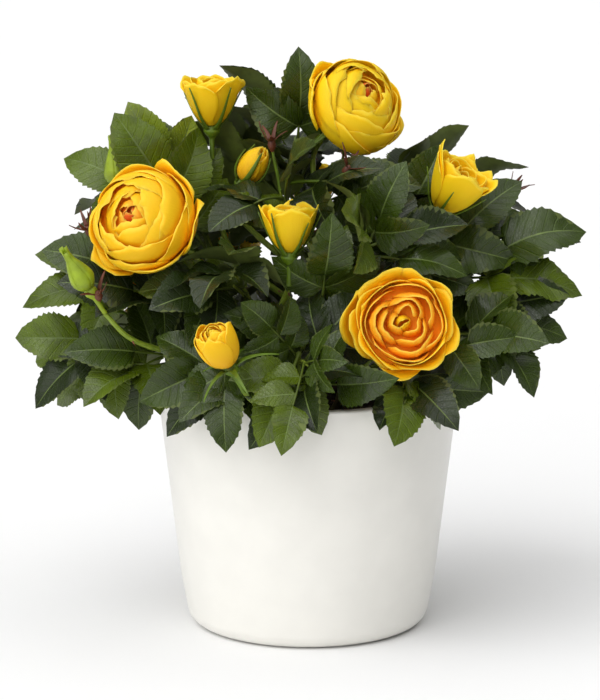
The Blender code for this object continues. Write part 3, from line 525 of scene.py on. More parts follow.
def leaf_shape(axes, joints, leaflets):
    """A whole leaf as one closed body: a three-sided stalk and its blades."""
    along, up, across = axes
    rings = [(joints[0], 0)]
    for joint in sorted({leaflet[0] for leaflet in leaflets} - {len(joints) - 1}):
        rings += [(joints[joint] - along * ROOT_WIDTH / 2, joint),
                  (joints[joint] + along * ROOT_WIDTH / 2, joint)]
    rings.append((joints[-1], len(joints) - 1))
    verts = []
    for point, joint in rings:
        size = RACHIS_RADII[0] + (RACHIS_RADII[1] - RACHIS_RADII[0]) * joint / (len(joints) - 1)
        top = up * size * RACHIS_TOP
        verts += [point - across * size + top, point + across * size + top, point - up * size]
    left, right, under = 0, 1, 2
    blades = {leaflet[:2]: leaflet[2:] for leaflet in leaflets}
    faces = [(left, right, under)]

    def put_blade(joint, hand, upper, lower):
        way, tilt, size = blades[joint, hand]
        first = len(verts)
        root = joints[joint] + across * (hand * RACHIS_RADII[1])
        verts.extend(blade_points(root, way, tilt, size))
        faces.extend(blade_faces(first, upper, lower))

    for ring in range(len(rings) - 1):
        a, b = 3 * ring, 3 * (ring + 1)
        joint = rings[ring][1] if rings[ring][1] == rings[ring + 1][1] else None
        faces.append((a + left, b + left, b + right, a + right))
        for hand, side in ((1, right), (-1, left)):
            near, far = (a, b) if hand > 0 else (b, a)
            if (joint, hand) in blades:
                put_blade(joint, hand, (far + side, near + side), (far + under, near + under))
            else:
                faces.append((near + side, far + side, far + under, near + under))
    last = 3 * (len(rings) - 1)
    put_blade(len(joints) - 1, 0, (last + left, last + right), (last + under,))
    return verts, faces


def stays_in(mass, shape):
    """True where a shape keeps to the space of its mass."""
    low, high = mass.heights
    first, last = mass.azimuths
    middle = (first + last) / 2
    for v in shape[0]:
        if not low - SPACE_SPARE <= v.z <= high + SPACE_SPARE_ABOVE:
            return False
        reach = math.hypot(v.x, v.y)
        if reach > mass.reach + SPACE_SPARE:
            return False
        if v.z < POT_HEIGHT + RIM_CLEAR and reach < POT_RIM_RADIUS + RIM_CLEAR:
            return False
        turn = (math.degrees(math.atan2(v.y, v.x)) - middle + 180) % 360 - 180
        if reach > CORE_REACH and abs(turn) > (last - first) / 2 + SPACE_SPARE_TURN:
            return False
    return True


def hides_flower(shape):
    """True where a shape stands before a flower, on its open side."""
    for flower in FLOWERS.values():
        middle = place(*flower.place)
        if flower.kind != "bloom":
            middle = middle + flower_axis(flower) * (OPEN_HEAD_RAISE * flower.radius)
        front = middle.y < CROWN_HEART.y / 2
        outlook = Vector((0, -1 if front else 1, OUTLOOK_LIFT)).normalized()
        room = flower.radius * KINDS[flower.kind].room
        for v in shape[0]:
            off = v - middle
            ahead = off.dot(outlook)
            before = ahead > -FACE_DEPTH * flower.radius and (off - outlook * ahead).length < room
            if before or off.length < room:
                return True
    return False


def leaf_tips(mass, rng):
    """Where a mass's leaves reach for: its leads, then spots all through its space."""
    for lead in mass.leads:
        yield place(*lead)
    first, last = mass.azimuths
    low, high = mass.heights
    rise_low, rise_high = FILLER_RISE
    for i in range(1, FILLER_TRIES + 1):
        across = (FILLER_START[0] + i * GOLDEN) % 1
        rise = rise_low + (rise_high - rise_low) * ((FILLER_START[1] + i * GOLDEN**2) % 1)
        yield place(first + (last - first) * across, mass.reach * rng.uniform(*FILLER_REACH),
                    low + (high - low) * rise)


def grow_leaf(thicket, rng, mass, kin, root, tip, least, miss, size=1):
    """A leaf towards tip with the leaflets that find room, or None with too few."""
    best = None
    for attempt in range(LEAF_TRIES):
        goal = tip + wander(rng, miss * attempt)
        way = goal - root
        reach = min(max(way.length, LEAF_LENGTH[0]), LEAF_LENGTH[1])
        axes, joints, leaflets = leaf_parts(root, root + way.normalized() * reach, rng)
        if size < 1:
            joints = [root + (joint - root) * size for joint in joints]
            leaflets = [(*leaflet[:4], leaflet[4] * size) for leaflet in leaflets]
        stalk = tube(joints, [RACHIS_RADII[0]] * len(joints), TWIG_SIDES, GAP)
        if thicket.touches(stalk, kin):
            continue
        kept = []
        for leaflet in leaflets:
            shape = leaflet_shape(joints, leaflet, 2 * GAP)
            if stays_in(mass, shape) and not hides_flower(shape) \
                    and not thicket.touches(shape, kin):
                kept.append(leaflet)
        if leaflets[0] in kept and (best is None or len(kept) > len(best[2])):
            best = (axes, joints, kept)
            if len(kept) == len(leaflets):
                break
    if best is None or len(best[2]) < least:
        return None
    return best


def shoot_name(mass_name):
    return mass_name + "_shoot"


def grow_shoot(thicket, rng, name, mass):
    """The path of a mass's shoot."""
    end = place(*mass.shoot)
    azimuth, _, height = mass.shoot
    arrive = (end - place(azimuth, SHOOT_AIM_REACH, height - SHOOT_AIM_DROP)).normalized()
    path, ends = grow_limb(thicket, rng, mass.host, mass.leaves_at, end, arrive,
                           (SHOOT_RADIUS, SHOOT_TIP_RADIUS), TWIG_SIDES, SHOOT_RINGS, name)
    shape = tube(path, taper(SHOOT_RADIUS, SHOOT_TIP_RADIUS, SHOOT_RINGS), TWIG_SIDES,
                 ends=ends)
    thicket.add(shape, shoot_name(name))
    return path


def path_place(path, share):
    """The point at a share of the way along a path, and the path's direction there."""
    spot = share * (len(path) - 1)
    low = min(int(spot), len(path) - 2)
    return path[low].lerp(path[low + 1], spot - low), (path[low + 1] - path[low]).normalized()


def grow_leaves(thicket, rng, name, mass, path):
    """The leaves of one mass, along its shoot's path."""
    leaves = []
    shoot = shoot_name(name)
    wanted = len(mass.leads) + mass.fillers
    for number, tip in enumerate(leaf_tips(mass, rng)):
        if len(leaves) == wanted:
            break
        share = 1 - (ROOT_START + ROOT_STEP * number) % ROOT_SPAN if number else FIRST_ROOT
        root, _ = path_place(path, share)
        if number < len(mass.leads):
            leaf = grow_leaf(thicket, rng, mass, (name, shoot), root, tip, 1, LEAD_STRAY)
        else:
            least = LEAFLETS_LEAST if number < FILLER_TRIES / 2 else LEAFLETS_LEAST - 1
            leaf = grow_leaf(thicket, rng, mass, (shoot,), root, tip, least, FILLER_STRAY)
        if leaf is not None:
            leaves.append(leaf)
            thicket.add(leaf_shape(*leaf), name)
    return leaves


def arc(centre, radius, start, end, steps):
    """(radius, height) points round an arc of the pot's profile, angles in degrees."""
    angles = [math.radians(angle) for angle in taper(start, end, steps + 1)]
    return [(centre[0] + radius * math.cos(angle), centre[1] + radius * math.sin(angle))
            for angle in angles]


def pot_inside(height):
    """Radius of the pot's inner wall at a height."""
    slope = (POT_RIM_RADIUS - POT_FOOT_RADIUS) / POT_HEIGHT
    return POT_FOOT_RADIUS + slope * height - POT_WALL


Plant = namedtuple("Plant", "stems shoots leaves finer")  # finer: twigs and leaves

# Finer growth between the main leaves: short twigs on each shoot, with smaller leaves
FINE_SEED = 11
FINE_TWIGS = 3  # on each shoot
FINE_TWIG_LENGTH = (0.016, 0.030)
FINE_TWIG_RADII = (0.0009, 0.0006)
FINE_TWIG_RINGS = 5
FINE_LEAF_SIZE = (0.50, 0.76)  # of a main leaf
FINE_LEAVES = 7  # wanted in each mass
FINE_TRIES = 22
FINE_STRAY = 0.012
FINE_PLACES = (0.30, 0.98)  # along a shoot
FINE_TWIG_SPAN = 0.6  # share of the shoot that its twigs spread over
FINE_WANDER = 0.9  # of a twig's or small leaf's heading
FINE_TWIG_LEAN = 0.5  # along its shoot
FINE_LEAF_LEAN = 0.4  # out of the crown and along its perch


def grow_finer(thicket, rng, name, mass, path):
    """Short twigs along a shoot, and small leaves on both, in the mass's space."""
    shoot = shoot_name(name)
    perches = [(path, shoot)]
    twigs = []
    for number in range(FINE_TWIGS):
        root, along = path_place(
            path, FINE_PLACES[0] + FINE_TWIG_SPAN * (number + rng.random()) / FINE_TWIGS)
        out = (crown_normal(root) + wander(rng, FINE_WANDER)).normalized()
        end = root + (out + along * FINE_TWIG_LEAN).normalized() * rng.uniform(*FINE_TWIG_LENGTH)
        twig = limb_path(root, (out + along).normalized(), end, out, FINE_TWIG_RINGS)
        shape = tube(twig, taper(*FINE_TWIG_RADII, FINE_TWIG_RINGS), TWIG_SIDES, GAP)
        if thicket.touches(shape, (shoot,)) or not stays_in(mass, shape):
            continue
        thicket.add(shape, shoot)
        perches.append((twig, shoot))
        twigs.append(twig)
    leaves = []
    for attempt in range(FINE_TRIES):
        if len(leaves) == FINE_LEAVES:
            break
        perch, kin = perches[attempt % len(perches)]
        root, along = path_place(perch, rng.uniform(*FINE_PLACES))
        out = (crown_normal(root) * FINE_LEAF_LEAN + along * FINE_LEAF_LEAN
               + wander(rng, FINE_WANDER)).normalized()
        leaf = grow_leaf(thicket, rng, mass, (kin,), root, root + out * LEAF_LENGTH[1],
                         LEAFLETS_LEAST, FINE_STRAY, rng.uniform(*FINE_LEAF_SIZE))
        if leaf:
            leaves.append(leaf)
            thicket.add(leaf_shape(*leaf), name)
    return twigs, leaves


def node_shape(name):
    """A node of the frame as its points and faces."""
    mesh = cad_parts[name].data
    return [v.co.copy() for v in mesh.vertices], [tuple(f.vertices) for f in mesh.polygons]


def grow_plant():
    """Grow the stems, shoots and leaves, then the finer twigs and leaves."""
    rng = random.Random(SEED)
    thicket = Thicket()
    for name in ("pot", "compost", *FLOWERS):
        thicket.add(node_shape(name), name)
    for name, cane in CANES.items():
        thicket.add(cane_shape(cane), name)
    stems = {}
    for name, flower in FLOWERS.items():
        axis = flower_axis(flower)
        stem = "stem_of_" + name
        path, ends = grow_limb(thicket, rng, flower.host, flower.leaves_at,
                               twig_foot(flower) - axis * GAP, axis,
                               (STEM_RADIUS, NECK_RADIUS), STEM_SIDES, STEM_RINGS, stem)
        thicket.add(tube(path, taper(STEM_RADIUS, NECK_RADIUS, STEM_RINGS), STEM_SIDES,
                         ends=ends), stem)
        stems[name] = path
    shoots = {name: grow_shoot(thicket, rng, name, mass) for name, mass in MASSES.items()}
    leaves = {name: grow_leaves(thicket, rng, name, mass, shoots[name])
              for name, mass in MASSES.items()}
    rng = random.Random(FINE_SEED)
    finer = {name: grow_finer(thicket, rng, name, mass, shoots[name])
             for name, mass in MASSES.items()}
    return Plant(stems, shoots, leaves, finer)


# ======== fine shapes for the pieces

SHARP_EDGE = math.radians(60)
KNOT_HALF_LENGTH = 0.0011
KNOT_SWELLING = 0.16
RIBS = 3  # round a limb
RIB_TWIST = 60  # how far the ribs wind round the limb, in radians per metre
WAVER_SHARE = 0.5  # of the ribs' depth
WAVER, FAST_WAVER = 420, 1150  # along the limb, in radians per metre
FAST_WAVER_SHARE = 0.6  # of the slow waver


def new_object(name, data):
    """An object at the origin, linked into the scene."""
    made = bpy.data.objects.new(name, data)
    bpy.context.scene.collection.objects.link(made)
    return made


class Sheaf:
    """Points and faces gathered for one joined piece."""

    def __init__(self):
        self.points, self.faces, self.looks, self.places = [], [], [], []

    def add(self, points, faces, look, places):
        """look is a material's number, for all the faces or for each; places is the UV map."""
        first = len(self.points)
        self.points += np.reshape(points, (-1, 3)).tolist()
        self.faces += [[first + k for k in face] for face in faces]
        self.looks += np.broadcast_to(look, len(faces)).tolist()
        self.places += np.reshape(places, (-1, 2)).tolist()

    def make(self, name, materials):
        """The mesh object, at the origin, smooth but for its sharp edges."""
        mesh = bpy.data.meshes.new(name)
        mesh.from_pydata(self.points, [], self.faces)
        mesh.polygons.foreach_set("material_index", self.looks)
        mesh.shade_smooth()
        mesh.set_sharp_from_angle(angle=SHARP_EDGE)
        corners = np.concatenate(self.faces)
        mesh.uv_layers.new(name="shape").data.foreach_set(
            "uv", np.array(self.places)[corners].ravel())
        for look in materials:
            mesh.materials.append(look)
        return new_object(name, mesh)


def settle(made):
    """Put the object's evaluated mesh in place of its own and its modifiers."""
    bpy.context.view_layer.update()
    mesh = bpy.data.meshes.new_from_object(
        made.evaluated_get(bpy.context.evaluated_depsgraph_get()))
    made.modifiers.clear()
    old = made.data
    made.data = mesh
    mesh.name = old.name
    bpy.data.meshes.remove(old)
    if not mesh.polygons:
        raise RuntimeError(made.name + " came out empty")


def grid_faces(rows, columns):
    """Faces of a grid of points, row by row."""
    row, column = np.meshgrid(np.arange(rows - 1), np.arange(columns - 1), indexing="ij")
    corner = (row * columns + column).ravel()
    return np.stack([corner, corner + 1, corner + 1 + columns, corner + columns], axis=-1)


def grid_places(across, along):
    """The UV map of a grid of points."""
    return np.stack(np.meshgrid(across, along), axis=-1)


def smooth_path(points, count):
    """count points on a smooth curve through the given ones."""
    given = np.array([tuple(p) for p in points])
    given = np.vstack([2 * given[0] - given[1], given, 2 * given[-1] - given[-2]])
    spans = len(given) - 3
    found = []
    for k in range(count):
        spot = k / (count - 1) * spans
        i = min(int(spot), spans - 1)
        f = spot - i
        a, b, c, d = given[i:i + 4]
        found.append(0.5 * (2 * b + (c - a) * f + (2 * a - 5 * b + 4 * c - d) * f**2
                            + (3 * b - a - 3 * c + d) * f**3))
    return np.array(found)


def run_lengths(path):
    """How far along a path each of its points lies."""
    steps = np.linalg.norm(np.diff(path, axis=0), axis=1)
    return np.concatenate([[0], np.cumsum(steps)])


def add_tube(sheaf, path, radii, sides, look, relief=1.0):
    """Add a closed round tube; relief scales its radii at each point and side."""
    points, faces = tube([Vector(p) for p in path], radii, sides)
    middles = np.array([tuple(p) for p in path])
    spokes = np.reshape(points, (len(path), sides, 3)) - middles[:, None]
    relief = np.broadcast_to(relief, spokes.shape[:2])[..., None]
    turns = 2 * np.pi * np.arange(sides) / sides
    sheaf.add(middles[:, None] + spokes * relief, faces, look,
              np.stack(np.meshgrid(run_lengths(middles), turns, indexing="ij"), axis=-1))


def limb_relief(path, sides, depth, knot_spacing, rng):
    """A waver, shallow ribs and a swelling at each old leaf scar, per radius."""
    lengths = run_lengths(path)[:, None]
    start = rng.uniform(0, knot_spacing)
    knots = np.exp(-(((lengths - start) % knot_spacing - knot_spacing / 2) / KNOT_HALF_LENGTH)**2)
    turns = 2 * np.pi * np.arange(sides) / sides
    phase = rng.uniform(0, 6)
    ribs = np.cos(RIBS * turns + phase + RIB_TWIST * lengths)
    waver = np.sin(WAVER * lengths + phase) \
        + FAST_WAVER_SHARE * np.sin(FAST_WAVER * lengths + 2 * phase)
    return 1 + depth * (ribs + WAVER_SHARE * waver) + KNOT_SWELLING * knots


# -------- leaflets

RIB = 0.035  # half width of the midrib, in half widths of the blade
# A row's points across the blade from left to right, and the midrib's underside
COLUMNS = (-1, -0.48, -RIB, RIB, 0.48, 1, 0)
KEEL = (0, 0, 0, 0, 0, 0, 1)
RIB_DEPTH = 0.055  # of the midrib below the blade, in half widths
PUFF = 0.075  # swelling of each half of the blade, in half widths
SHEAR = 0.15  # of the side veins forward, per length
SHEAR_START = 0.16  # they run straight across up to here
OUTLINE_BASE = 0.46
OUTLINE_TIP = 0.80
BASE_WIDTH = 0.06  # at the stalk, as a share of the greatest
BLADE_WIDTH = 0.69  # of a leaflet's length
ROW_GROWTH = 1.25  # rows grow longer towards the tip
TOOTH_LEAN = 0.74  # how far forward in its row a tooth's point lies
TOOTH_NOTCH = 0.3  # how far the rim draws in between teeth, per tooth
RIB_FADE = 0.7  # share of its depth gone at the tip
# One leaflet's chance differences
TOOTH_SIZES = (0.7, 1.5)
RIM_FOLDS = (0.3, 3.3)
RIM_WAVE = 0.24
RIM_WAVES = (0.8, 1.8)  # how many waves run along the rim
BLADE_TWIST = 0.22
BLADE_WIDTHS = (0.90, 1.08)
BLADE_DROOPS = (0.4, 3.6)
BLADE_ARCHES = (0.2, 1.0)
BLADE_SWING = 0.08
DROOP_START = 2.2  # the higher, the nearer the tip it droops


def outline_width(y):
    """Half width of a leaflet, as a share of its greatest, at y of its length."""
    widest = OUTLINE_BASE / (OUTLINE_BASE + OUTLINE_TIP)
    greatest = widest**OUTLINE_BASE * (1 - widest)**OUTLINE_TIP
    return y**OUTLINE_BASE * (1 - y)**OUTLINE_TIP / greatest


def leaflet_faces(rows):
    """A closed blade's faces, and for each its part: 0 blade, 1 midrib, 2 underside."""
    wide = len(COLUMNS)
    teeth = rows * wide
    tip = teeth + 2 * (rows - 1)
    faces, parts = [tuple(reversed(range(wide)))], [2]
    for row in range(rows):
        near = range(row * wide, (row + 1) * wide)
        far = range((row + 1) * wide, (row + 2) * wide)
        left, right = teeth + 2 * row, teeth + 2 * row + 1
        if row == rows - 1:
            far, left, right = [tip] * wide, tip, tip
        for corners, part in (
                ((near[0], near[1], far[1], far[0], left), 0),
                ((near[1], near[2], far[2], far[1]), 0),
                ((near[2], near[3], far[3], far[2]), 1),
                ((near[3], near[4], far[4], far[3]), 0),
                ((near[4], near[5], right, far[5], far[4]), 0),
                ((near[6], near[0], left, far[0], far[6]), 2),
                ((near[5], near[6], far[6], far[5], right), 2)):
            faces.append(tuple(dict.fromkeys(corners)))
            parts.append(part)
    return faces, np.array(parts)


def leaflet_sheet(rows, tooth, rng):
    """One leaflet's points, across and up in half widths and forward in lengths, and its map.

    They are the rows' points, then the teeth's by pairs, then the tip.
    """
    starts = (np.arange(rows) / rows)**ROW_GROWTH
    points = starts[:-1] + TOOTH_LEAN * np.diff(starts)
    t = np.concatenate([np.repeat(starts, len(COLUMNS)), np.repeat(points, 2), [1]])
    across = np.concatenate([np.tile(COLUMNS, rows), np.tile([-1, 1], rows - 1), [0]])
    keel = np.zeros(len(t))
    keel[:rows * len(COLUMNS)] = np.tile(KEEL, rows)
    teeth = np.zeros(len(t))
    teeth[rows * len(COLUMNS):-1] = [
        tooth * rng.uniform(*TOOTH_SIZES) for _ in range(2 * rows - 2)]
    side = np.abs(across)
    shear = SHEAR * (1 - t) * np.clip(t / SHEAR_START, 0, 1)
    half = np.where(t > 0, outline_width(t + shear), BASE_WIDTH)
    x = across * half * (1 - TOOTH_NOTCH * tooth * side * (t > 0) + teeth)
    rim = LEAFLET_FOLD * rng.uniform(*RIM_FOLDS) + stray(rng, RIM_WAVE) * np.sin(
        2 * np.pi * (rng.uniform(*RIM_WAVES) * t + rng.random()) + np.sign(across))
    twist = stray(rng, BLADE_TWIST) * across * t
    swell = PUFF * 4 * side * (1 - side) - RIB_DEPTH * keel * (1 - RIB_FADE * t)
    return x, t + shear * side, half * (side * rim + twist + swell), \
        np.stack([0.5 + 0.5 * across, t], axis=-1)


def add_leaflet(sheaf, joints, leaf_across, leaflet, rows, looks, settings, rng):
    """Add one closed leaflet; looks are its blade's, its midrib's and its underside's."""
    joint, hand, way, tilt, length = leaflet
    root = np.array(joints[joint] + leaf_across * (hand * RACHIS_RADII[1] * 0.5))
    across, forward, up = np.array(way.cross(tilt)), np.array(way), np.array(tilt)
    x, y, z, places = leaflet_sheet(rows, settings.tooth_depth, rng)
    half = length * BLADE_WIDTH * rng.uniform(*BLADE_WIDTHS) / 2
    droop = LEAFLET_DROOP * rng.uniform(*BLADE_DROOPS)
    arch = LEAFLET_DROOP * rng.uniform(*BLADE_ARCHES)
    swing = stray(rng, BLADE_SWING)
    sideways = x * half + swing * length * y**2
    lift = z * half + length * (arch * np.sin(np.pi * y) - droop * y**DROOP_START)
    points = root + sideways[:, None] * across + (y * length)[:, None] * forward \
        + lift[:, None] * up
    faces, parts = leaflet_faces(rows)
    sheaf.add(points, faces, np.array(looks)[parts], places)


# -------- petals

Petal = namedtuple(
    "Petal", "grid drift turn spread foot belly rim height shoulder roll point crease zone")
PETAL_GRID = (11, 13)  # rows and columns of points
HEART_GRID = (8, 9)  # of the petals that hardly show
FINE_RINGS = 4  # how many rings from outside have the finer grid
PETAL_BASE = 0.12
LOBE = 0.06  # how far a rim draws in at its sides
PETAL_TUCK = 0.050  # of one edge over the next petal's

# Rings of petals from the outside in, per radius of the flower: their number, their rims'
# radius and height, greatest radius, half spread in degrees, how far up they stay upright, how
# far their rims roll out, how pointed and creased they are, and the colour zone from 0 outside
# to 3 in the heart.  A blossom starts with how round it is below and its filling's height.
# The deeper orange and red of the inner zones are partly the flower's own colour and partly
# painted shade in its heart.
Ring = namedtuple("Ring", "petals rim height belly spread shoulder roll point crease zone")
BLOSSOMS = {
    "ball": (1.10, 1.0, (
        Ring(4, 0.95, 0.70, 0.92, 54, 0.78, 0.06, 0.14, 0.00, 0),
        Ring(4, 0.82, 0.86, 0.93, 56, 0.86, 0.04, 0.10, 0.02, 0),
        Ring(4, 0.64, 0.99, 0.90, 60, 0.91, 0.03, 0.08, 0.03, 1),
        Ring(4, 0.46, 1.06, 0.84, 66, 0.93, 0.02, 0.06, 0.03, 1),
        Ring(4, 0.30, 1.10, 0.74, 74, 0.94, 0.01, 0.03, 0.03, 1),
        Ring(3, 0.18, 1.11, 0.58, 88, 0.94, 0.01, 0.00, 0.02, 1),
        Ring(3, 0.09, 1.10, 0.42, 92, 0.94, 0.00, 0.00, 0.02, 2),
        Ring(3, 0.02, 1.08, 0.26, 90, 0.94, 0.00, 0.00, 0.00, 3))),
    "cup": (1.10, 0.62, (
        Ring(5, 0.95, 0.64, 0.74, 46, 0.80, 0.04, 0.03, 0.00, 0),
        Ring(5, 0.87, 0.74, 0.72, 46, 0.84, 0.04, 0.03, 0.00, 0),
        Ring(4, 0.73, 0.86, 0.74, 58, 0.86, 0.04, 0.03, 0.00, 1),
        Ring(4, 0.62, 0.88, 0.68, 60, 0.88, 0.03, 0.05, 0.05, 2),
        Ring(3, 0.48, 0.92, 0.62, 64, 0.88, 0.03, 0.08, 0.22, 2),
        Ring(3, 0.33, 0.93, 0.48, 64, 0.90, 0.02, 0.08, 0.22, 2),
        Ring(3, 0.18, 0.90, 0.34, 70, 0.92, 0.01, 0.03, 0.15, 2),
        Ring(2, 0.03, 0.90, 0.18, 100, 0.94, 0.00, 0.00, 0.00, 1))),
    "opening": (0.66, 0.0, (
        Ring(4, 0.94, 1.46, 0.82, 52, 0.72, 0.05, 0.10, 0.00, 0),
        Ring(4, 0.82, 1.45, 0.76, 56, 0.78, 0.02, 0.05, 0.00, 0),
        Ring(4, 0.60, 1.44, 0.68, 62, 0.84, 0.01, 0.03, 0.03, 0),
        Ring(4, 0.38, 1.42, 0.54, 66, 0.88, 0.01, 0.02, 0.05, 1),
        Ring(3, 0.16, 1.40, 0.36, 78, 0.90, 0.00, 0.00, 0.04, 2))),
    "bud": (0.95, 0.0, (
        Ring(3, 0.36, 2.02, 0.92, 78, 0.62, 0.03, 0.10, 0.00, 0),
        Ring(3, 0.24, 2.12, 0.82, 82, 0.66, 0.01, 0.06, 0.00, 0),
        Ring(3, 0.10, 2.16, 0.62, 86, 0.70, 0.00, 0.02, 0.00, 1))),
    "blunt": (0.95, 0.0, (
        Ring(4, 0.84, 1.96, 1.02, 56, 0.80, 0.04, 0.16, 0.04, 0),
        Ring(4, 0.66, 2.02, 0.96, 58, 0.84, 0.02, 0.10, 0.04, 0),
        Ring(4, 0.44, 2.08, 0.84, 62, 0.88, 0.01, 0.06, 0.06, 0),
        Ring(3, 0.22, 2.08, 0.64, 74, 0.90, 0.00, 0.04, 0.04, 1),
        Ring(3, 0.06, 2.06, 0.40, 84, 0.92, 0.00, 0.00, 0.02, 1))),
}
BLOSSOM_OF = {"bloom_right": "cup", "bud_low_left": "blunt"}  # those not like their kind
PALETTE_OF = {"bloom_top": (0, 0, 1, 3), "bloom_rear_left": (0, 0, 1, 2)}
# Loose outer petals: (degrees round the flower from its top leftward, how pointed, height)
GUARDS = {
    "bloom_left": ((-29, 0.24, 0.62), (134, 0.30, 0.60), (-92, 0.06, 0.60)),
    "bloom_top": ((66, 0.30, 0.62), (22, 0.06, 0.64), (-120, 0.10, 0.60)),
    "bloom_right": ((80, 0.00, 0.60),),
    "bloom_rear_left": ((40, 0.20, 0.62), (160, 0.10, 0.60)),
    "bloom_rear_right": ((-60, 0.20, 0.60), (120, 0.16, 0.62)),
    "half_open_right": ((40, 0.20, 1.78), (-70, 0.22, 1.46), (-110, 0.12, 1.40)),
}
LEANS = {  # flowers whose rings lean: towards (azimuth, lift), how far
    "bloom_top": (350, 60, 0.36), "bloom_left": (190, 20, 0.10),
}
SIZES = {"bloom_left": 0.97, "bloom_right": 0.96}  # of the whole head
TIPPED = {  # degrees that opening flowers tip back from the front
    "half_open_middle": 20, "half_open_top_left": 14, "half_open_right": 6,
}
RING_STAGGER = 0.5  # of the space between petals, from one ring to the next
NESTED_CREASE = 0.1  # petals creased more than this nest, with hardly a stagger
NESTED_STAGGER = 0.08
PALE_RIM = (1.0, 0.86, 0.12)  # what a petal's very edge pales to
RING_DRIFT = 0.07  # of the innermost ring, off the middle
RING_TURN, PETAL_TURN = 0.2, 0.12  # how far a ring, and a petal in it, may turn
PETAL_CHANCES = {  # how a petal's own measures differ from its ring's
    "spread": (0.92, 1.12), "belly": (0.97, 1.02), "rim": (0.94, 1.04), "height": (0.93, 1.04),
    "roll": (0.4, 1.6), "point": (0.3, 1.5), "crease": (0.7, 1.3),
}
# The form of one petal, over u from side to side (-1 to 1) and v from base to rim (0 to 1)
RIM_ROUND = 0.17  # how much lower the rim ends at its sides
RIM_NICKS = ((5.2, 0.02), (11, 0.012))  # waves of the rim's edge over u, and their size
POINT_WIDTH = 0.45
PETAL_NECK = 0.36  # width at the base, as a share of the greatest
FULL_FROM = 0.60  # it is at its widest from here
CLOSE_FROM, CLOSE_BY = 0.62, 0.30  # and draws in again from here
ROLL_FROM, ROLL_SPAN = 0.70, 0.30
SIDE_ROLL = 0.8  # how much more its sides roll out
ROLL_FALL = 0.55  # how far a rolled rim comes down
TUCK_FOOT = 0.3  # share of the tuck that the base has
RIPPLE, RIM_RIPPLE = 0.014, 0.026  # of every petal, and more by its rim's radius
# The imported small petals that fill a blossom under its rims, as (radius, height) shares
FILLING = (
    (0.10, 0.02), (0.52, 0.12), (0.78, 0.40), (0.82, 0.62), (0.70, 0.78), (0.48, 0.86),
    (0.24, 0.90), (0.02, 0.91),
)
FILLING_SIDES = 24
FILLING_ZONE = 2


def petal_line(shape, foot, s):
    """How far out and how high a petal's middle lies at s, on a Bezier curve each."""
    return (bezier((PETAL_BASE, shape.belly * foot, shape.belly * 1.07, shape.rim), s),
            bezier((0, 0.08 * shape.height, shape.shoulder * shape.height, shape.height), s))


def petal_points(petal, rng):
    """One petal's points in units of the flower's radius, its base at the origin."""
    v = np.linspace(0, 1, petal.grid[0])[:, None]
    u = np.linspace(-1, 1, petal.grid[1])[None, :]
    side = np.abs(u)
    phase = rng.uniform(0, 6)
    edge = sum(size * np.sin(waves * u + k * phase)
               for k, (waves, size) in enumerate(RIM_NICKS, 1))
    s = v * (1 - RIM_ROUND * side**2.2 + edge * v) \
        + petal.point * np.clip(1 - side / POINT_WIDTH, 0, 1)**1.5 * v**4
    radius, height = petal_line(petal, petal.foot, s)
    half = petal.spread * (
        PETAL_NECK + (1 - PETAL_NECK) * np.sin(np.pi / 2 * np.clip(v / FULL_FROM, 0, 1)))
    half = half * (1 - CLOSE_BY * np.clip((v - CLOSE_FROM) / (1 - CLOSE_FROM), 0, 1)**2.2)
    lean = np.clip((v - ROLL_FROM) / ROLL_SPAN, 0, 1)**2 * (1 + SIDE_ROLL * side**2)
    radius = radius + petal.roll * lean \
        + PETAL_TUCK * petal.rim * u * (TUCK_FOOT + (1 - TUCK_FOOT) * v)
    height = height - ROLL_FALL * petal.roll * lean
    radius = radius + petal.crease * (0.5 - side) * v**1.5 - LOBE * petal.rim * side**2 * v**3
    ripple = RIPPLE + RIM_RIPPLE * petal.rim
    radius = radius + ripple * np.sin(3.4 * u + phase) * v**3
    height = height + ripple * np.cos(2.6 * u + 2 * phase) * v**2
    turn = petal.turn + u * half
    aside, ahead = petal.drift
    return np.stack([radius * np.cos(turn) + aside, radius * np.sin(turn) + ahead, height],
                    axis=-1)


def ring_petals(kind, rng):
    """The petals of a blossom's rings, each a little its own way."""
    petals = []
    foot, _, rings = BLOSSOMS[kind]
    start = rng.uniform(0, 6)
    for number, ring in enumerate(rings):
        grid = PETAL_GRID if number < FINE_RINGS else HEART_GRID
        stagger = NESTED_STAGGER if ring.crease > NESTED_CREASE else RING_STAGGER
        start += stagger * math.tau / ring.petals + stray(rng, RING_TURN)
        far = RING_DRIFT * number / len(rings)
        drift = stray(rng, far), stray(rng, far)
        for k in range(ring.petals):
            turn = start + math.tau * k / ring.petals + stray(rng, PETAL_TURN)
            own = {key: getattr(ring, key) * rng.uniform(*PETAL_CHANCES[key])
                   for key in PETAL_CHANCES}
            own["spread"] = math.radians(own["spread"])
            petals.append(Petal(grid=grid, drift=drift, turn=turn, foot=foot,
                                shoulder=ring.shoulder, zone=ring.zone, **own))
    return petals


def axes_along(axis):
    """A matrix of a side, the way across it and the axis, in columns."""
    side = upright(axis, Vector((0, 0, 1)) if abs(axis.z) < 0.9 else Vector((0, -1, 0)))
    return np.array([tuple(side), tuple(axis.cross(side)), tuple(axis)]).T


def flower_frame(name, flower):
    """The flower's base, and a matrix of its side, across and axis in columns."""
    axis = flower_axis(flower)
    base = np.array(flower_base(flower))
    tip = math.radians(TIPPED.get(name, 0))
    back = np.array([[1, 0, 0], [0, math.cos(tip), math.sin(tip)],
                     [0, -math.sin(tip), math.cos(tip)]])
    return base, back @ axes_along(axis)


def blossom_of(name):
    """A flower's blossom, and the petal material of each of its zones."""
    kind = KINDS[FLOWERS[name].kind]
    return BLOSSOM_OF.get(name, kind.blossom), PALETTE_OF.get(name, kind.palette)


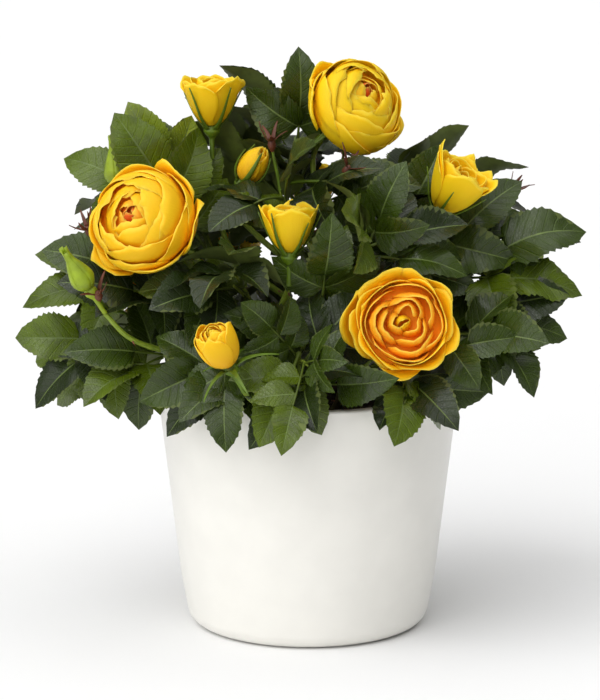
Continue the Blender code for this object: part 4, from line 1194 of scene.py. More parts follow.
def flower_stand(name, flower):
    """What takes points, per radius of a flower, to their place on the plant."""
    base, turning = flower_frame(name, flower)
    azimuth, lift, far = LEANS.get(name, (0, 0, 0))
    leaning = np.array(heading(azimuth, lift)) * far
    leaning -= turning[:, 2] * leaning.dot(turning[:, 2])
    size = flower.radius * SIZES.get(name, 1.0)

    def stand(points):
        lean = np.maximum(points[..., 2:], 0)**1.6 * leaning
        return base + (points @ turning.T + lean) * size

    return stand


def add_petals(sheaf, name, flower, rng):
    """Add all the petals of a flower, its loose outer ones last."""
    kind, palette = blossom_of(name)
    petals = ring_petals(kind, rng)
    for turn, point, height in GUARDS.get(name, ()):
        petals.append(Petal(grid=PETAL_GRID, drift=(0, 0), turn=math.radians(turn),
                            foot=BLOSSOMS[kind][0], point=point, height=height, crease=0.0,
                            zone=0, **KINDS[flower.kind].guard))
    stand = flower_stand(name, flower)
    for petal in petals:
        rows, columns = petal.grid
        sheaf.add(stand(petal_points(petal, rng)), grid_faces(rows, columns),
                  palette[petal.zone],
                  grid_places(np.linspace(0, 1, columns), np.linspace(0, 1, rows)))


def filling(name, flower):
    """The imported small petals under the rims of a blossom, as one closed form."""
    heart = Sheaf()
    kind, palette = blossom_of(name)
    revolve(heart, FILLING, FILLING_SIDES, palette[FILLING_ZONE])
    points = np.array(heart.points) * (1, 1, BLOSSOMS[kind][1])
    heart.points = flower_stand(name, flower)(points).tolist()
    return heart


# -------- sepals

SEPAL_ROWS = 12
SEPAL_COLUMNS = np.array([-1, -0.5, 0, 0.5, 1])
SEPAL_BENDS = {  # degrees off the flower's axis at the root and at the tip
    "bloom": (70, 165), "bent_back": (66, 128),
}
BENT_BACK = ("bud_low_left", "bud_rear")
SEPAL_FOLD = 0.30
# The sepals' chance differences
SEPAL_WIDTHS, SEPAL_LENGTHS = (0.85, 1.1), (0.82, 1.12)
SEPAL_TURN = 0.1
SEPAL_CURL = 10  # degrees at the tip
SEPAL_STRAY = 0.5  # how far a tip stands off the petals, per length
BUD_SEPALS = (0.98, 1.16)  # how far they reach up a green bud
BUD_SEPAL_FLICK = 0.0012  # how far their tips may stand off it
# How sepals lie on what they clothe
SEPAL_SEAT = 0.80  # where bent ones leave the hip, per radius
SEPAL_GAP, BUD_SEPAL_GAP = 0.0007, 0.00025
SEPAL_HEIGHT = 1.15  # how much longer than a petal's height its curve is
PETAL_END = 0.97  # a longer sepal goes straight on from here


def bent_line(bend, length):
    """How far out and along each point of a line lies, from its bend there."""
    step = length / (len(bend) - 1)
    return (np.concatenate([[0], np.cumsum(turn(bend[:-1]) * step)]) for turn in (np.sin, np.cos))


def sepal_way(name, flower, length, rng):
    """How far out and up a sepal's middle lies and its bend, from root to tip."""
    t = np.linspace(0, 1, SEPAL_ROWS)
    kind = "bent_back" if name in BENT_BACK else flower.kind
    hip = KINDS[flower.kind].hip
    if kind in SEPAL_BENDS:
        first, last = SEPAL_BENDS[kind]
        bend = np.radians(first + (last - first) * t**0.55 + stray(rng, SEPAL_CURL) * t)
        out, along = bent_line(bend, length)
        return hip * SEPAL_SEAT + out, along - SEPAL_DROP, bend
    if kind == "green_bud":
        body = np.array(GREEN_BUD_PROFILE) * flower.radius
        height = t * body[-1, 1] * rng.uniform(*BUD_SEPALS)
        radius = np.interp(height, body[:, 1], body[:, 0]) + BUD_SEPAL_GAP \
            + rng.uniform(0, BUD_SEPAL_FLICK) * t**5
    else:
        foot, _, rings = BLOSSOMS[blossom_of(name)[0]]
        s = t * length / (rings[0].height * flower.radius * SEPAL_HEIGHT)
        radius, height = petal_line(rings[0], foot, np.clip(s, 0, PETAL_END))
        off = rng.uniform(0.0, SEPAL_STRAY) * np.clip(t - 0.55, 0, 1)**2
        radius = np.maximum(radius * 1.03 * flower.radius + SEPAL_GAP, hip * 0.9) + off * length
        height = (height + np.clip(s - PETAL_END, 0, None)) * flower.radius \
            - SEPAL_DROP * (1 - t)**4
    return radius, height, np.arctan2(np.gradient(radius), np.gradient(height))


def add_strip(sheaf, base, turning, turn, way, widths, fold, look):
    """Add a narrow folded strip that stands at a turn round an axis."""
    out, up, bend = way
    spoke = turning @ (math.cos(turn), math.sin(turn), 0)
    across = turning @ (-math.sin(turn), math.cos(turn), 0)
    axis = turning[:, 2]
    middle = base + out[:, None] * spoke + up[:, None] * axis
    rise = np.sin(bend)[:, None] * axis - np.cos(bend)[:, None] * spoke
    columns = SEPAL_COLUMNS[:, None]
    points = middle[:, None] + widths[:, None, None] * (
        columns * across + fold * np.abs(columns) * rise[:, None])
    sheaf.add(points, grid_faces(len(out), len(columns))[:, ::-1], look,
              grid_places(0.5 + 0.5 * SEPAL_COLUMNS, np.linspace(0, 1, len(out))))


def add_sepals(sheaf, name, flower, look, rng):
    """Five narrow leafy sepals round the top of the hip."""
    base, turning = flower_frame(name, flower)
    kind = KINDS[flower.kind]
    t = np.linspace(0, 1, SEPAL_ROWS)
    for k in range(SEPALS):
        width = kind.sepal_width * rng.uniform(*SEPAL_WIDTHS)
        turn = math.tau * (k + 0.5) / SEPALS + stray(rng, SEPAL_TURN)
        way = sepal_way(name, flower, kind.sepal * rng.uniform(*SEPAL_LENGTHS), rng)
        shape = (kind.sepal_waist + (1 - kind.sepal_waist) * (1 - t)**3) * (1 - t)**0.8 + 0.07
        if flower.kind == "green_bud":
            shape = 0.60 * way[0] / width + 0.05
        add_strip(sheaf, base, turning, turn, way, shape * width, SEPAL_FOLD, look)


DRIED = (  # calyxes whose petals have dropped, and the shoots that carry them
    ((191.0, 0.101, 0.187), "leaves_left_middle"), ((299.5, 0.0345, 0.217), "leaves_middle_top"),
    ((231.0, 0.026, 0.227), "leaves_middle_top"), ((207.6, 0.106, 0.1635), "leaves_left_low"),
    ((74.0, 0.080, 0.205), "leaves_rear_middle"), ((20.0, 0.100, 0.196), "leaves_rear_right"),
)
DRIED_HIP = np.array([  # (height, radius) from below
    (-0.0030, 0.0006), (-0.0015, 0.0015), (0, 0.0020), (0.0020, 0.0016), (0.0032, 0.0007),
])
DRIED_SEPAL = (0.0095, 0.0010)  # length and half width
DRIED_ROWS = 8
DRIED_SEAT = (0.0016, 0.0024)  # of the sepals, out and up on the hip
DRIED_TURN, DRIED_LENGTHS = 0.3, (0.7, 1.15)
DRIED_BENDS, DRIED_CURLS = (20, 60), (-50, 40)  # degrees off the axis, and added on
DRIED_STALK = (0.0009, 0.0006)
DRIED_THICK = SEPAL_THICK * 0.6
DRIED_RINGS = 16
DRIED_SIDES = 10
DRIED_LIFT = 0.9  # how far it turns up from its stalk


def add_dried(body, leafy, spot, shoot, rng):
    """A thin stalk from a shoot to a small hip with five withered sepals."""
    middle = place(*spot)
    start = min(shoot, key=lambda point: (point - middle).length)
    axis = ((middle - start).normalized() + Vector((0, 0, DRIED_LIFT))).normalized()
    path = smooth_path(limb_path(start, axis, middle, axis, STEM_RINGS), DRIED_RINGS)
    add_tube(body, path, np.linspace(*DRIED_STALK, DRIED_RINGS), STALK_SIDES, 0)
    turning, middle = axes_along(axis), np.array(middle)
    add_tube(body, middle + DRIED_HIP[:, :1] * turning[:, 2], DRIED_HIP[:, 1], DRIED_SIDES, 1)
    t = np.linspace(0, 1, DRIED_ROWS)
    for k in range(SEPALS):
        turn = math.tau * k / SEPALS + stray(rng, DRIED_TURN)
        bend = np.radians(rng.uniform(*DRIED_BENDS) + rng.uniform(*DRIED_CURLS) * t)
        out, up = bent_line(bend, DRIED_SEPAL[0] * rng.uniform(*DRIED_LENGTHS))
        add_strip(leafy, middle, turning, turn, (DRIED_SEAT[0] + out, DRIED_SEAT[1] + up, bend),
                  DRIED_SEPAL[1] * (1 - t)**0.7 + 0.00015, 0, 1)


def add_hip(sheaf, name, flower, look):
    """The flower's own piece of stem, its hip and the floor of its petals."""
    base, turning = flower_frame(name, flower)
    hip, top = KINDS[flower.kind].hip, -HIP_LENGTH
    outline = [(top - TWIG_LENGTH - 0.0008, NECK_RADIUS), (top - 0.5 * TWIG_LENGTH, NECK_RADIUS),
               (top - 0.0005, NECK_RADIUS * 1.15)]
    outline += [(depth * top, hip * width) for depth, width in HIP_OUTLINE]
    if flower.kind == "green_bud":
        outline += [(height * flower.radius, radius * flower.radius)
                    for radius, height in GREEN_BUD_PROFILE[1:]]
    else:
        outline.append((0.0006, hip * 0.35))
    heights, radii = np.array(outline).T
    fine = smooth_path(base + heights[:, None] * turning[:, 2], 4 * len(outline))
    spread = np.interp(np.linspace(0, len(radii) - 1, len(fine)), range(len(radii)), radii)
    add_tube(sheaf, fine, spread, 14, look)


# ======== materials

def linear(code):
    """An sRGB hex colour as the linear numbers that Blender's sockets take."""
    parts = [int(code[i:i + 2], 16) / 255 for i in (1, 3, 5)]
    return tuple(c / 12.92 if c <= 0.04045 else ((c + 0.055) / 1.055)**2.4 for c in parts)


def add_node(tree, kind, inputs=None, **settings):
    """Add a node with its settings and its inputs' values, sockets or nodes.

    An input that is given a node takes that node's first output.
    """
    made = tree.nodes.new(kind)
    for key, value in settings.items():
        setattr(made, key, value)
    for key, value in (inputs or {}).items():
        if isinstance(value, bpy.types.Node):
            value = value.outputs[0]
        if isinstance(value, bpy.types.NodeSocket):
            tree.links.new(value, made.inputs[key])
        else:
            made.inputs[key].default_value = value
    return made


def new_material(name, colour, roughness, **values):
    """A named Principled material and its node tree."""
    made = bpy.data.materials.new(name)
    made.use_nodes = True
    made.diffuse_color = (*colour, 1)
    inputs = made.node_tree.nodes["Principled BSDF"].inputs
    for key, value in {"Base Color": (*colour, 1), "Roughness": roughness, **values}.items():
        inputs[key.replace("_", " ")].default_value = value
    return made, made.node_tree


def dress(made, colour, height=None, distance_mm=0.0, strength=1.0):
    """Join a colour to a material's shader, and a height as its relief."""
    tree = made.node_tree
    inputs = tree.nodes["Principled BSDF"].inputs
    tree.links.new(colour, inputs["Base Color"])
    if height:
        bump = add_node(tree, "ShaderNodeBump", {
            "Height": height, "Distance": distance_mm / 1000, "Strength": strength})
        tree.links.new(bump.outputs["Normal"], inputs["Normal"])
    return made


def mottle(tree, size_mm, detail=3):
    """A noise whose blotches are about size_mm across."""
    where = add_node(tree, "ShaderNodeTexCoord").outputs["Object"]
    return add_node(tree, "ShaderNodeTexNoise", {
        "Vector": where, "Scale": 1000 / size_mm / 2, "Detail": detail})


def streaks(tree, across, along, detail):
    """A noise drawn out along a piece's own map."""
    where = add_node(tree, "ShaderNodeUVMap", uv_map="shape")
    drawn = add_node(tree, "ShaderNodeMapping", {"Vector": where, "Scale": (across, along, 1)})
    return add_node(tree, "ShaderNodeTexNoise", {
        "Vector": drawn, "Scale": 1.0, "Detail": detail})


def tint(tree, share, low, high, dark, light):
    """A colour that runs from dark to light as share runs from low to high."""
    ramp = add_node(tree, "ShaderNodeValToRGB", {"Fac": share})
    for stop, position, colour in zip(ramp.color_ramp.elements, (low, high), (dark, light)):
        stop.position = position
        stop.color = (*colour, 1)
    return ramp.outputs["Color"]


def scaled(colour, share):
    return tuple(min(1.0, c * share) for c in colour)


def glazed_pot_material(colour):
    # White glazed stoneware: a smooth satin glaze that shows soft, broad reflections and the
    # faintest pooling of the glaze, about 9 mm across.
    made, tree = new_material("satin_white_glazed_stoneware", colour, 0.34, IOR=1.5,
                              Coat_Weight=0.25, Coat_Roughness=0.22)
    glaze = tint(tree, mottle(tree, 9), 0.35, 0.65, scaled(colour, 0.965), colour)
    return dress(made, glaze, mottle(tree, 3, 1), 0.03, 0.35)


def compost_material(colour):
    # Damp peat compost: near black brown crumbs and fibres, dull, with paler dry specks.
    made, tree = new_material("damp_peat_compost", colour, 0.92)
    peat = tint(tree, mottle(tree, 1.2, 6), 0.40, 0.72, scaled(colour, 0.6), scaled(colour, 3.2))
    return dress(made, peat, mottle(tree, 0.9, 6), 0.5)


def bark_material(name, low, high, rough):
    # Rose bark: a smooth green skin that browns in thin lengthwise streaks as it ages.
    made, tree = new_material(name, low, rough)
    streak = streaks(tree, 320, 2.2, 4)
    return dress(made, tint(tree, streak, 0.35, 0.70, low, high), streak, 0.12, 0.7)


def leaf_material(name, colour, rough):
    # A rose leaf's upper side: waxy and leathery, with eight pairs of side veins that run
    # forward from the midrib, a little paler and sunk, over a fine net about 1.2 mm apart.
    made, tree = new_material(name, colour, rough, IOR=1.38, Coat_Weight=0.30,
                              Coat_Roughness=0.20)
    parts = add_node(tree, "ShaderNodeSeparateXYZ", {
        0: add_node(tree, "ShaderNodeUVMap", uv_map="shape")})
    middle = add_node(tree, "ShaderNodeMath", {0: parts, 1: 0.5}, operation="SUBTRACT")
    side = add_node(tree, "ShaderNodeMath", {0: middle}, operation="ABSOLUTE")
    run = add_node(tree, "ShaderNodeMath", {0: side, 1: -0.30, 2: parts.outputs["Y"]},
                   operation="MULTIPLY_ADD")
    wobble = add_node(tree, "ShaderNodeMath", {0: mottle(tree, 5, 1), 1: 0.05, 2: run},
                      operation="MULTIPLY_ADD")
    step = add_node(tree, "ShaderNodeMath", {0: wobble, 1: 8.0}, operation="MULTIPLY")
    near = add_node(tree, "ShaderNodeMath", {0: step, 1: 0.5}, operation="PINGPONG")
    vein = add_node(tree, "ShaderNodeMapRange", {"Value": near, "From Max": 0.11},
                    interpolation_type="SMOOTHSTEP")
    patchy = tint(tree, mottle(tree, 6, 4), 0.34, 0.68, scaled(colour, 0.78),
                  scaled(colour, 1.40))
    veined = add_node(tree, "ShaderNodeMix", {
        0: vein, 6: (*scaled(colour, 1.75), 1), 7: patchy}, data_type="RGBA")
    where = add_node(tree, "ShaderNodeTexCoord").outputs["Object"]
    net = add_node(tree, "ShaderNodeTexVoronoi", {"Vector": where, "Scale": 1000 / 1.2},
                   feature="DISTANCE_TO_EDGE")
    edge = add_node(tree, "ShaderNodeMapRange", {"Value": net, "From Max": 0.12})
    height = add_node(tree, "ShaderNodeMath", {0: vein, 1: 3.0, 2: edge},
                      operation="MULTIPLY_ADD")
    return dress(made, veined.outputs[2], height.outputs[0], 0.16, 0.85)


def skin_material(name, colour, rough=0.52):
    # Soft green plant skin, as on sepals, hips, stalks and the undersides of leaves: dull and
    # paler in patches, with no wax on it.
    made, tree = new_material(name, colour, rough)
    return dress(made, tint(tree, mottle(tree, 3), 0.35, 0.67, scaled(colour, 0.80),
                            scaled(colour, 1.25)))


def petal_material(name, rim, depth, low, high):
    # A fresh rose petal: velvety, faintly translucent, with fine veins that run up to a thin
    # pale rim, and a warmer colour down in its cup that is partly its own and partly painted
    # shade.
    made, tree = new_material(name, rim, 0.6, IOR=1.36, Subsurface_Weight=0.5,
                              Subsurface_Scale=0.001, Subsurface_Radius=(1.0, 1.0, 0.35))
    parts = add_node(tree, "ShaderNodeSeparateXYZ", {
        0: add_node(tree, "ShaderNodeUVMap", uv_map="shape")})
    cloud = add_node(tree, "ShaderNodeMath", {
        0: mottle(tree, 7, 2), 1: 0.20, 2: parts.outputs["Y"]}, operation="MULTIPLY_ADD")
    # Deeper colour towards the petal's base: partly the petal's own, partly painted shade in the
    # cup.
    body = tint(tree, cloud, low + 0.1, high + 0.1, depth, rim)
    brink = add_node(tree, "ShaderNodeMapRange", {"Value": parts.outputs["Y"], "From Min": 0.92})
    pale = [0.6 * c + 0.4 * w for c, w in zip(rim, PALE_RIM)]
    colour = add_node(tree, "ShaderNodeMix", {0: brink, 6: body, 7: (*pale, 1)},
                      data_type="RGBA")
    return dress(made, colour.outputs[2], streaks(tree, 46, 2.2, 3).outputs[0], 0.25, 0.4)


# ======== what a user sets

def hue(name, code, description):
    """A property for a colour."""
    return FloatVectorProperty(name=name, description=description, subtype="COLOR", size=3,
                               min=0, max=1, default=linear(code))


def measure(name, default, description, unit="LENGTH"):
    """A property for a length, an angle or a plain number."""
    return FloatProperty(name=name, description=description, default=default, unit=unit)


class RosePotSettings(bpy.types.PropertyGroup):
    """Sizes and colours of the pot and the compost."""

    height: measure("Pot Height", POT_HEIGHT, "Underside to rim")
    rim_radius: measure("Rim Radius", POT_RIM_RADIUS, "Outer, at the rim")
    foot_radius: measure("Foot Radius", POT_FOOT_RADIUS, "Outer, at the foot")
    crumb_size: measure("Crumb Size", 0.0021, "Of the largest compost crumbs")
    colour: hue("Glaze", "#F2F0E9", "The pot's glaze")
    compost_colour: hue("Compost", "#2A1C12", "Damp compost")


class RoseLimbSettings(bpy.types.PropertyGroup):
    """Sizes and colours of the canes, stems and twigs."""

    relief_depth: measure("Bark Relief", 0.035, "Of the ribs, per radius", "NONE")
    knot_spacing: measure("Knot Spacing", 0.014, "Between old leaf scars")
    prickle_length: measure("Prickle Length", 0.0026, "Of a prickle")
    prickle_spacing: measure("Prickle Spacing", 0.011, "Between prickles")
    cane_colour: hue("Cane", "#4A4A24", "Older wood at the foot")
    cane_brown: hue("Cane Brown", "#6B5636", "Brown streaks on older wood")
    stem_colour: hue("Stem", "#66821A", "Young flower stems")
    stem_light: hue("Stem Light", "#A0B23C", "Light streaks on young stems")
    twig_colour: hue("Twig", "#4E5E14", "Leafy shoots and leaf stalks")
    prickle_colour: hue("Prickle", "#7E4A30", "Prickles")


class RoseLeafSettings(bpy.types.PropertyGroup):
    """Sizes and colours of the leaves."""

    tooth_depth: measure("Tooth Depth", 0.085, "Of the margin's teeth, per width", "NONE")
    rows: IntProperty(name="Rows", description="Along a main leaflet", default=11)
    fine_rows: IntProperty(name="Fine Rows", description="Along a small leaflet", default=8)
    # The deep green that leaves inside the crown get is partly painted shade, not only older
    # leaves.
    deep: hue("Deep Green", "#1C2A00", "Old leaves inside the crown")
    dark: hue("Dark Green", "#2F4000", "Most of the leaves")
    mid: hue("Mid Green", "#4C5E02", "Leaves in their first summer")
    light: hue("Light Green", "#70801A", "Younger leaves")
    lime: hue("Lime", "#A2B226", "The youngest leaves")
    underside: hue("Underside", "#626D30", "Underside of a leaf")
    midrib: hue("Midrib", "#5C6E30", "Midrib of a leaf")


class RoseFlowerSettings(bpy.types.PropertyGroup):
    """Sizes and colours of the flowers."""

    petal_thickness: measure("Petal Thickness", 0.0003, "Of a petal")
    lemon: hue("Lemon", "#FFCA0A", "Rims of the outer petals")
    golden: hue("Golden", "#FFC00C", "Middle petals")
    # The orange and heart colours of the inner petals are partly painted shade deep in the
    # flower.
    orange: hue("Orange", "#FFAA1C", "Inner petals")
    heart: hue("Heart", "#EC6016", "Down in the heart")
    sepal: hue("Sepal", "#56700A", "Sepals and hips")
    green_bud: hue("Green Bud", "#8AA018", "Closed buds")
    dried: hue("Dried Calyx", "#5E2C16", "Calyxes whose petals have dropped")


class RoseStageSettings(bpy.types.PropertyGroup):
    """The floor, the lights and the camera."""

    floor_colour: hue("Floor", "#F6F6F6", "The floor's paper")
    camera_distance: measure("Camera Distance", 2.0, "To its target")
    camera_lift: measure("Camera Lift", math.radians(12.35), "Over the horizon", "ROTATION")
    key_strength: measure("Key Light", 1.86, "The light from the left", "NONE")
    top_strength: measure("Top Light", 2.05, "The light overhead", "NONE")
    world_strength: measure("Room Light", 0.14, "The room's white light", "NONE")


SETTINGS = {
    "rose_pot": RosePotSettings, "rose_limbs": RoseLimbSettings, "rose_leaves": RoseLeafSettings,
    "rose_flowers": RoseFlowerSettings, "rose_stage": RoseStageSettings,
}


# ======== the pieces

ROOT_BODY = "root"
POT_SIDES = 160
CRUMBS_PER_AREA = 90000.0  # on each square metre
HEAP_SIDES = 96
HEAP_RINGS = 26
HEAP_DEPTH = 0.012
HEAP_TAPER = 0.0008
HEAP_LUMPS = ((90, 0.0016), (330, 0.0009))  # how many to a metre and how high
HEAP_MOUND, HEAP_SINK = 0.0022, 0.0012  # rise about the canes, fall along the wall
CANE_FINE_RINGS = 60
CANE_FLARE_FADE = 8  # the flare is gone after 1/8 of a cane
LIMB_SEED, PRICKLE_SEED, CRUMB_SEED = 5, 8, 3
LEAF_SEED, TINT_SEED, FLOWER_SEED = 21, 4, 9
YOUNG_RELIEF = 0.6  # of the older wood's
STEM_KNOTS = 2  # how many times further apart a stem's leaf scars are
STEM_START = 6  # rings of a stem that its cane's tip hides
STEM_FOOT, STALK_FOOT = 1.1, 1.7  # their widening at the foot
SHOOT_END, STALK_END = 0.55, 0.7  # and how much thinner a shoot and a stalk end
FINE_STALK_SIZE = 0.7  # of a main leaf's stalk
PRICKLY_STEM, PRICKLY_SHOOT = 0.8, 0.7  # share with prickles, from the foot up
TWIG_RINGS = 12
CANE_FINE_SIDES = 14
STEM_FINE_RINGS = 64
STEM_FINE_SIDES = 12
SHOOT_FINE_RINGS = 28
SHOOT_FINE_SIDES = 10
STALK_RINGS = 9
STALK_SIDES = 6
grown = {}


def plant():
    """The plant, grown once for all the operators."""
    if "plant" not in grown:
        grown["plant"] = grow_plant()
    return grown["plant"]


def finish_piece(piece, slot, *nodes):
    """Tell the frame a piece's body, and hide the nodes it stands for."""
    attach(piece, ROOT_BODY)
    if nodes:
        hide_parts(*nodes)


def make_piece(sheaf, name, looks, slot, *nodes, wall=None):
    """Make and finish a piece; wall is a sheet's thickness and its side."""
    made = sheaf.make(name, looks)
    if wall:
        solid = made.modifiers.new("wall", "SOLIDIFY")
        solid.thickness, solid.offset = wall
        settle(made)
    finish_piece(made, slot, *nodes)


def revolve(sheaf, profile, sides, look):
    """Add a closed form turned about Z; profile is (radius, height) from below."""
    around = range(sides)
    points = [place(360 * k / sides, radius, height) for radius, height in profile
              for k in around]
    faces = [(k + a, k + (a + 1) % sides, k + sides + (a + 1) % sides, k + sides + a)
             for k in range(0, len(points) - sides, sides) for a in around]
    faces += [around[::-1], range(len(points) - sides, len(points))]
    sheaf.add(points, faces, look, [(a / sides, height) for _, height in profile for a in around])


def pot_profile(settings):
    """(radius, height) round the pot's wall, from underside to inner floor."""
    height, foot, rim = settings.height, settings.foot_radius, settings.rim_radius
    lean = math.degrees(math.atan2(rim - foot, height))
    profile = [(foot * 0.5, 0.0)]
    profile += arc((foot - POT_FOOT_ROUND, POT_FOOT_ROUND), POT_FOOT_ROUND, -90, -lean, 10)
    profile += [(foot + (rim - foot) * share, height * share)
                for share in (0.2, 0.35, 0.5, 0.65, 0.8, 0.93)]
    profile += arc((rim - POT_RIM_ROUND, height - POT_RIM_ROUND), POT_RIM_ROUND, -lean, 90, 6)
    inner = pot_inside(height)
    profile += arc((inner + POT_RIM_ROUND, height - POT_RIM_ROUND), POT_RIM_ROUND, 90, 180, 6)
    profile += [(pot_inside(height * share), height * share) for share in (0.9, 0.6, 0.3)]
    profile += [(pot_inside(POT_FLOOR), POT_FLOOR), (pot_inside(POT_FLOOR) * 0.5, POT_FLOOR)]
    return profile


def compost_heap():
    """The compost's uneven top, mounded about the canes, and its sides."""
    edge = pot_inside(SOIL_LEVEL) - 3 * GAP
    low = SOIL_LEVEL - HEAP_DEPTH
    profile = [(edge * 0.5, low), (edge - HEAP_TAPER, low)]
    profile += [(edge * (1 - k / HEAP_RINGS), SOIL_LEVEL) for k in range(HEAP_RINGS)]
    sheaf = Sheaf()
    revolve(sheaf, profile, HEAP_SIDES, 0)
    for point in sheaf.points[2 * HEAP_SIDES:]:
        rough = sum(noise.noise(Vector(point) * scale) * height for scale, height in HEAP_LUMPS)
        reach = math.hypot(point[0], point[1]) / edge
        calm = min(1, 6 * (1 - reach) + 0.3)  # the lumps are lower along the wall
        point[2] += rough * calm + HEAP_MOUND * (1 - reach**2) - HEAP_SINK
    return sheaf


def new_tree(name, *sizes):
    """A Geometry Nodes tree with inputs for its sizes and seed, and their sockets."""
    tree = bpy.data.node_groups.new(name, "GeometryNodeTree")
    for way in ("INPUT", "OUTPUT"):
        tree.interface.new_socket("Geometry", in_out=way, socket_type="NodeSocketGeometry")
    for size in sizes:
        tree.interface.new_socket(size, in_out="INPUT", socket_type="NodeSocketFloat")
    tree.interface.new_socket("Seed", in_out="INPUT", socket_type="NodeSocketInt")
    return tree, add_node(tree, "NodeGroupInput").outputs


def strew(tree, given, points, thing, turn, size, least, look, ground=None):
    """End a tree: real copies of a thing on points, from the least share of size up."""
    share = add_node(tree, "FunctionNodeRandomValue", {2: least, 3: 1.0, "Seed": given["Seed"]},
                     data_type="FLOAT")
    scale = add_node(tree, "ShaderNodeMath", {0: share.outputs[1], 1: size},
                     operation="MULTIPLY")
    placed = add_node(tree, "GeometryNodeInstanceOnPoints", {
        "Points": points, "Instance": thing, "Rotation": turn, "Scale": scale})
    joined = add_node(tree, "GeometryNodeJoinGeometry", {
        0: add_node(tree, "GeometryNodeRealizeInstances", {0: placed})})
    if ground:
        tree.links.new(ground, joined.inputs["Geometry"])
    dressed = add_node(tree, "GeometryNodeSetMaterial", {"Geometry": joined, "Material": look})
    add_node(tree, "NodeGroupOutput", {0: dressed})
    return tree


def crumb_tree(look):
    """Geometry Nodes that strew small lumps over a surface."""
    tree, given = new_tree("strewn_crumbs", "Crumb Size", "Crumbs per Area")
    strewn = add_node(tree, "GeometryNodeDistributePointsOnFaces", {
        "Mesh": given["Geometry"], "Density": given["Crumbs per Area"], "Seed": given["Seed"]})
    ball = add_node(tree, "GeometryNodeMeshIcoSphere", {"Radius": 0.5, "Subdivisions": 1})
    lump = add_node(tree, "ShaderNodeTexNoise", {
        "Vector": add_node(tree, "GeometryNodeInputPosition"), "Scale": 2.3, "Detail": 2.0})
    shift = add_node(tree, "ShaderNodeVectorMath", {
        0: lump.outputs["Color"], 1: (0.9, 0.9, 0.9), 2: (-0.45, -0.45, -0.45)},
        operation="MULTIPLY_ADD")
    crumb = add_node(tree, "GeometryNodeSetPosition", {"Geometry": ball, "Offset": shift})
    turn = add_node(tree, "FunctionNodeRandomValue", {
        "Max": (math.tau, math.tau, math.tau), "Seed": given["Seed"]}, data_type="FLOAT_VECTOR")
    return strew(tree, given, strewn, crumb, turn, given["Crumb Size"], 0.30, look,
                 given["Geometry"])


def prickle_tree(look):
    """Geometry Nodes that set down-curved prickles along paths."""
    tree, given = new_tree("set_prickles", "Prickle Length", "Spacing")
    path = add_node(tree, "GeometryNodeMeshToCurve", {"Mesh": given["Geometry"]})
    spaced = add_node(tree, "GeometryNodeResampleCurve", {
        "Curve": path, "Length": given["Spacing"]}, mode="LENGTH")
    cone = add_node(tree, "GeometryNodeMeshCone", {
        "Vertices": 6, "Side Segments": 4, "Radius Top": 0.02, "Radius Bottom": 0.26,
        "Depth": 1.0})
    parts = add_node(tree, "ShaderNodeSeparateXYZ", {
        0: add_node(tree, "GeometryNodeInputPosition")})
    hook = add_node(tree, "ShaderNodeMath", {0: parts.outputs["Z"], 1: 2.0}, operation="POWER")
    droop = add_node(tree, "ShaderNodeMath", {0: hook, 1: -0.5}, operation="MULTIPLY")
    lean = add_node(tree, "ShaderNodeCombineXYZ", {"X": droop})
    hooked = add_node(tree, "GeometryNodeSetPosition", {"Geometry": cone, "Offset": lean})
    tangent = add_node(tree, "GeometryNodeInputTangent")
    random_way = add_node(tree, "FunctionNodeRandomValue", {
        "Min": (-1, -1, -1), "Max": (1, 1, 1), "Seed": given["Seed"]}, data_type="FLOAT_VECTOR")
    out = add_node(tree, "ShaderNodeVectorMath", {0: tangent, 1: random_way},
                   operation="CROSS_PRODUCT")
    aim = add_node(tree, "FunctionNodeAxesToRotation", {
        "Primary Axis": out, "Secondary Axis": tangent}, primary_axis="Z", secondary_axis="X")
    return strew(tree, given, spaced, hooked, aim, given["Prickle Length"], 0.65, look)


def run_nodes(made, tree, **values):
    """Put a node tree's result in place of the object's mesh; values go by socket name."""
    nodes = made.modifiers.new(tree.name, "NODES")
    nodes.node_group = tree
    for item in tree.interface.items_tree:
        key = item.name.lower().replace(" ", "_")
        if item.in_out == "INPUT" and key in values:
            nodes[item.identifier] = values[key]
    made.update_tag()
    settle(made)


class ROSEBUSH_OT_pot(bpy.types.Operator):
    """Make the glazed pot and its compost"""

    bl_idname = "rosebush.pot"
    bl_label = "Pot and Compost"

    def execute(self, context):
        settings = context.scene.rose_pot
        sheaf = Sheaf()
        revolve(sheaf, pot_profile(settings), POT_SIDES, 0)
        make_piece(sheaf, "glazed_pot", [glazed_pot_material(settings.colour)], "pot", "pot")
        look = compost_material(settings.compost_colour)
        heap = compost_heap().make("compost_surface", [look])
        run_nodes(heap, crumb_tree(look), crumb_size=settings.crumb_size,
                  crumbs_per_area=CRUMBS_PER_AREA, seed=CRUMB_SEED)
        finish_piece(heap, "compost", "compost")
        return {"FINISHED"}


def add_limb(sheaf, points, radii, sides, settings, rng, relief=1.0, knots=1, start=0):
    """Add a smooth limb with bark's relief, its depth and knot spacing scaled; give its path."""
    path = smooth_path(points, len(radii))[start:]
    add_tube(sheaf, path, radii[-len(path):], sides, 0, limb_relief(
        path, sides, relief * settings.relief_depth, knots * settings.knot_spacing, rng))
    return path


def on_cane(host, height):
    """The middle of a cane at a height."""
    return point_at_height(cane_path(CANES[host]), height)[0]


def make_canes(settings, rng):
    """Make the canes, and give their paths."""
    fade = np.clip(1 - np.linspace(0, CANE_FLARE_FADE, CANE_FINE_RINGS), 0, 1)
    radii = np.linspace(CANE_FOOT_RADIUS, CANE_TIP_RADIUS, CANE_FINE_RINGS) \
        * (1 + (CANE_FLARE - 1) * fade)
    canes = Sheaf()
    paths = [add_limb(canes, cane_path(cane), radii, CANE_FINE_SIDES, settings, rng)
             for cane in CANES.values()]
    look = bark_material("rose_cane_bark", settings.cane_colour, settings.cane_brown, 0.6)
    make_piece(canes, "canes", [look], "bark", *CANES)
    return paths


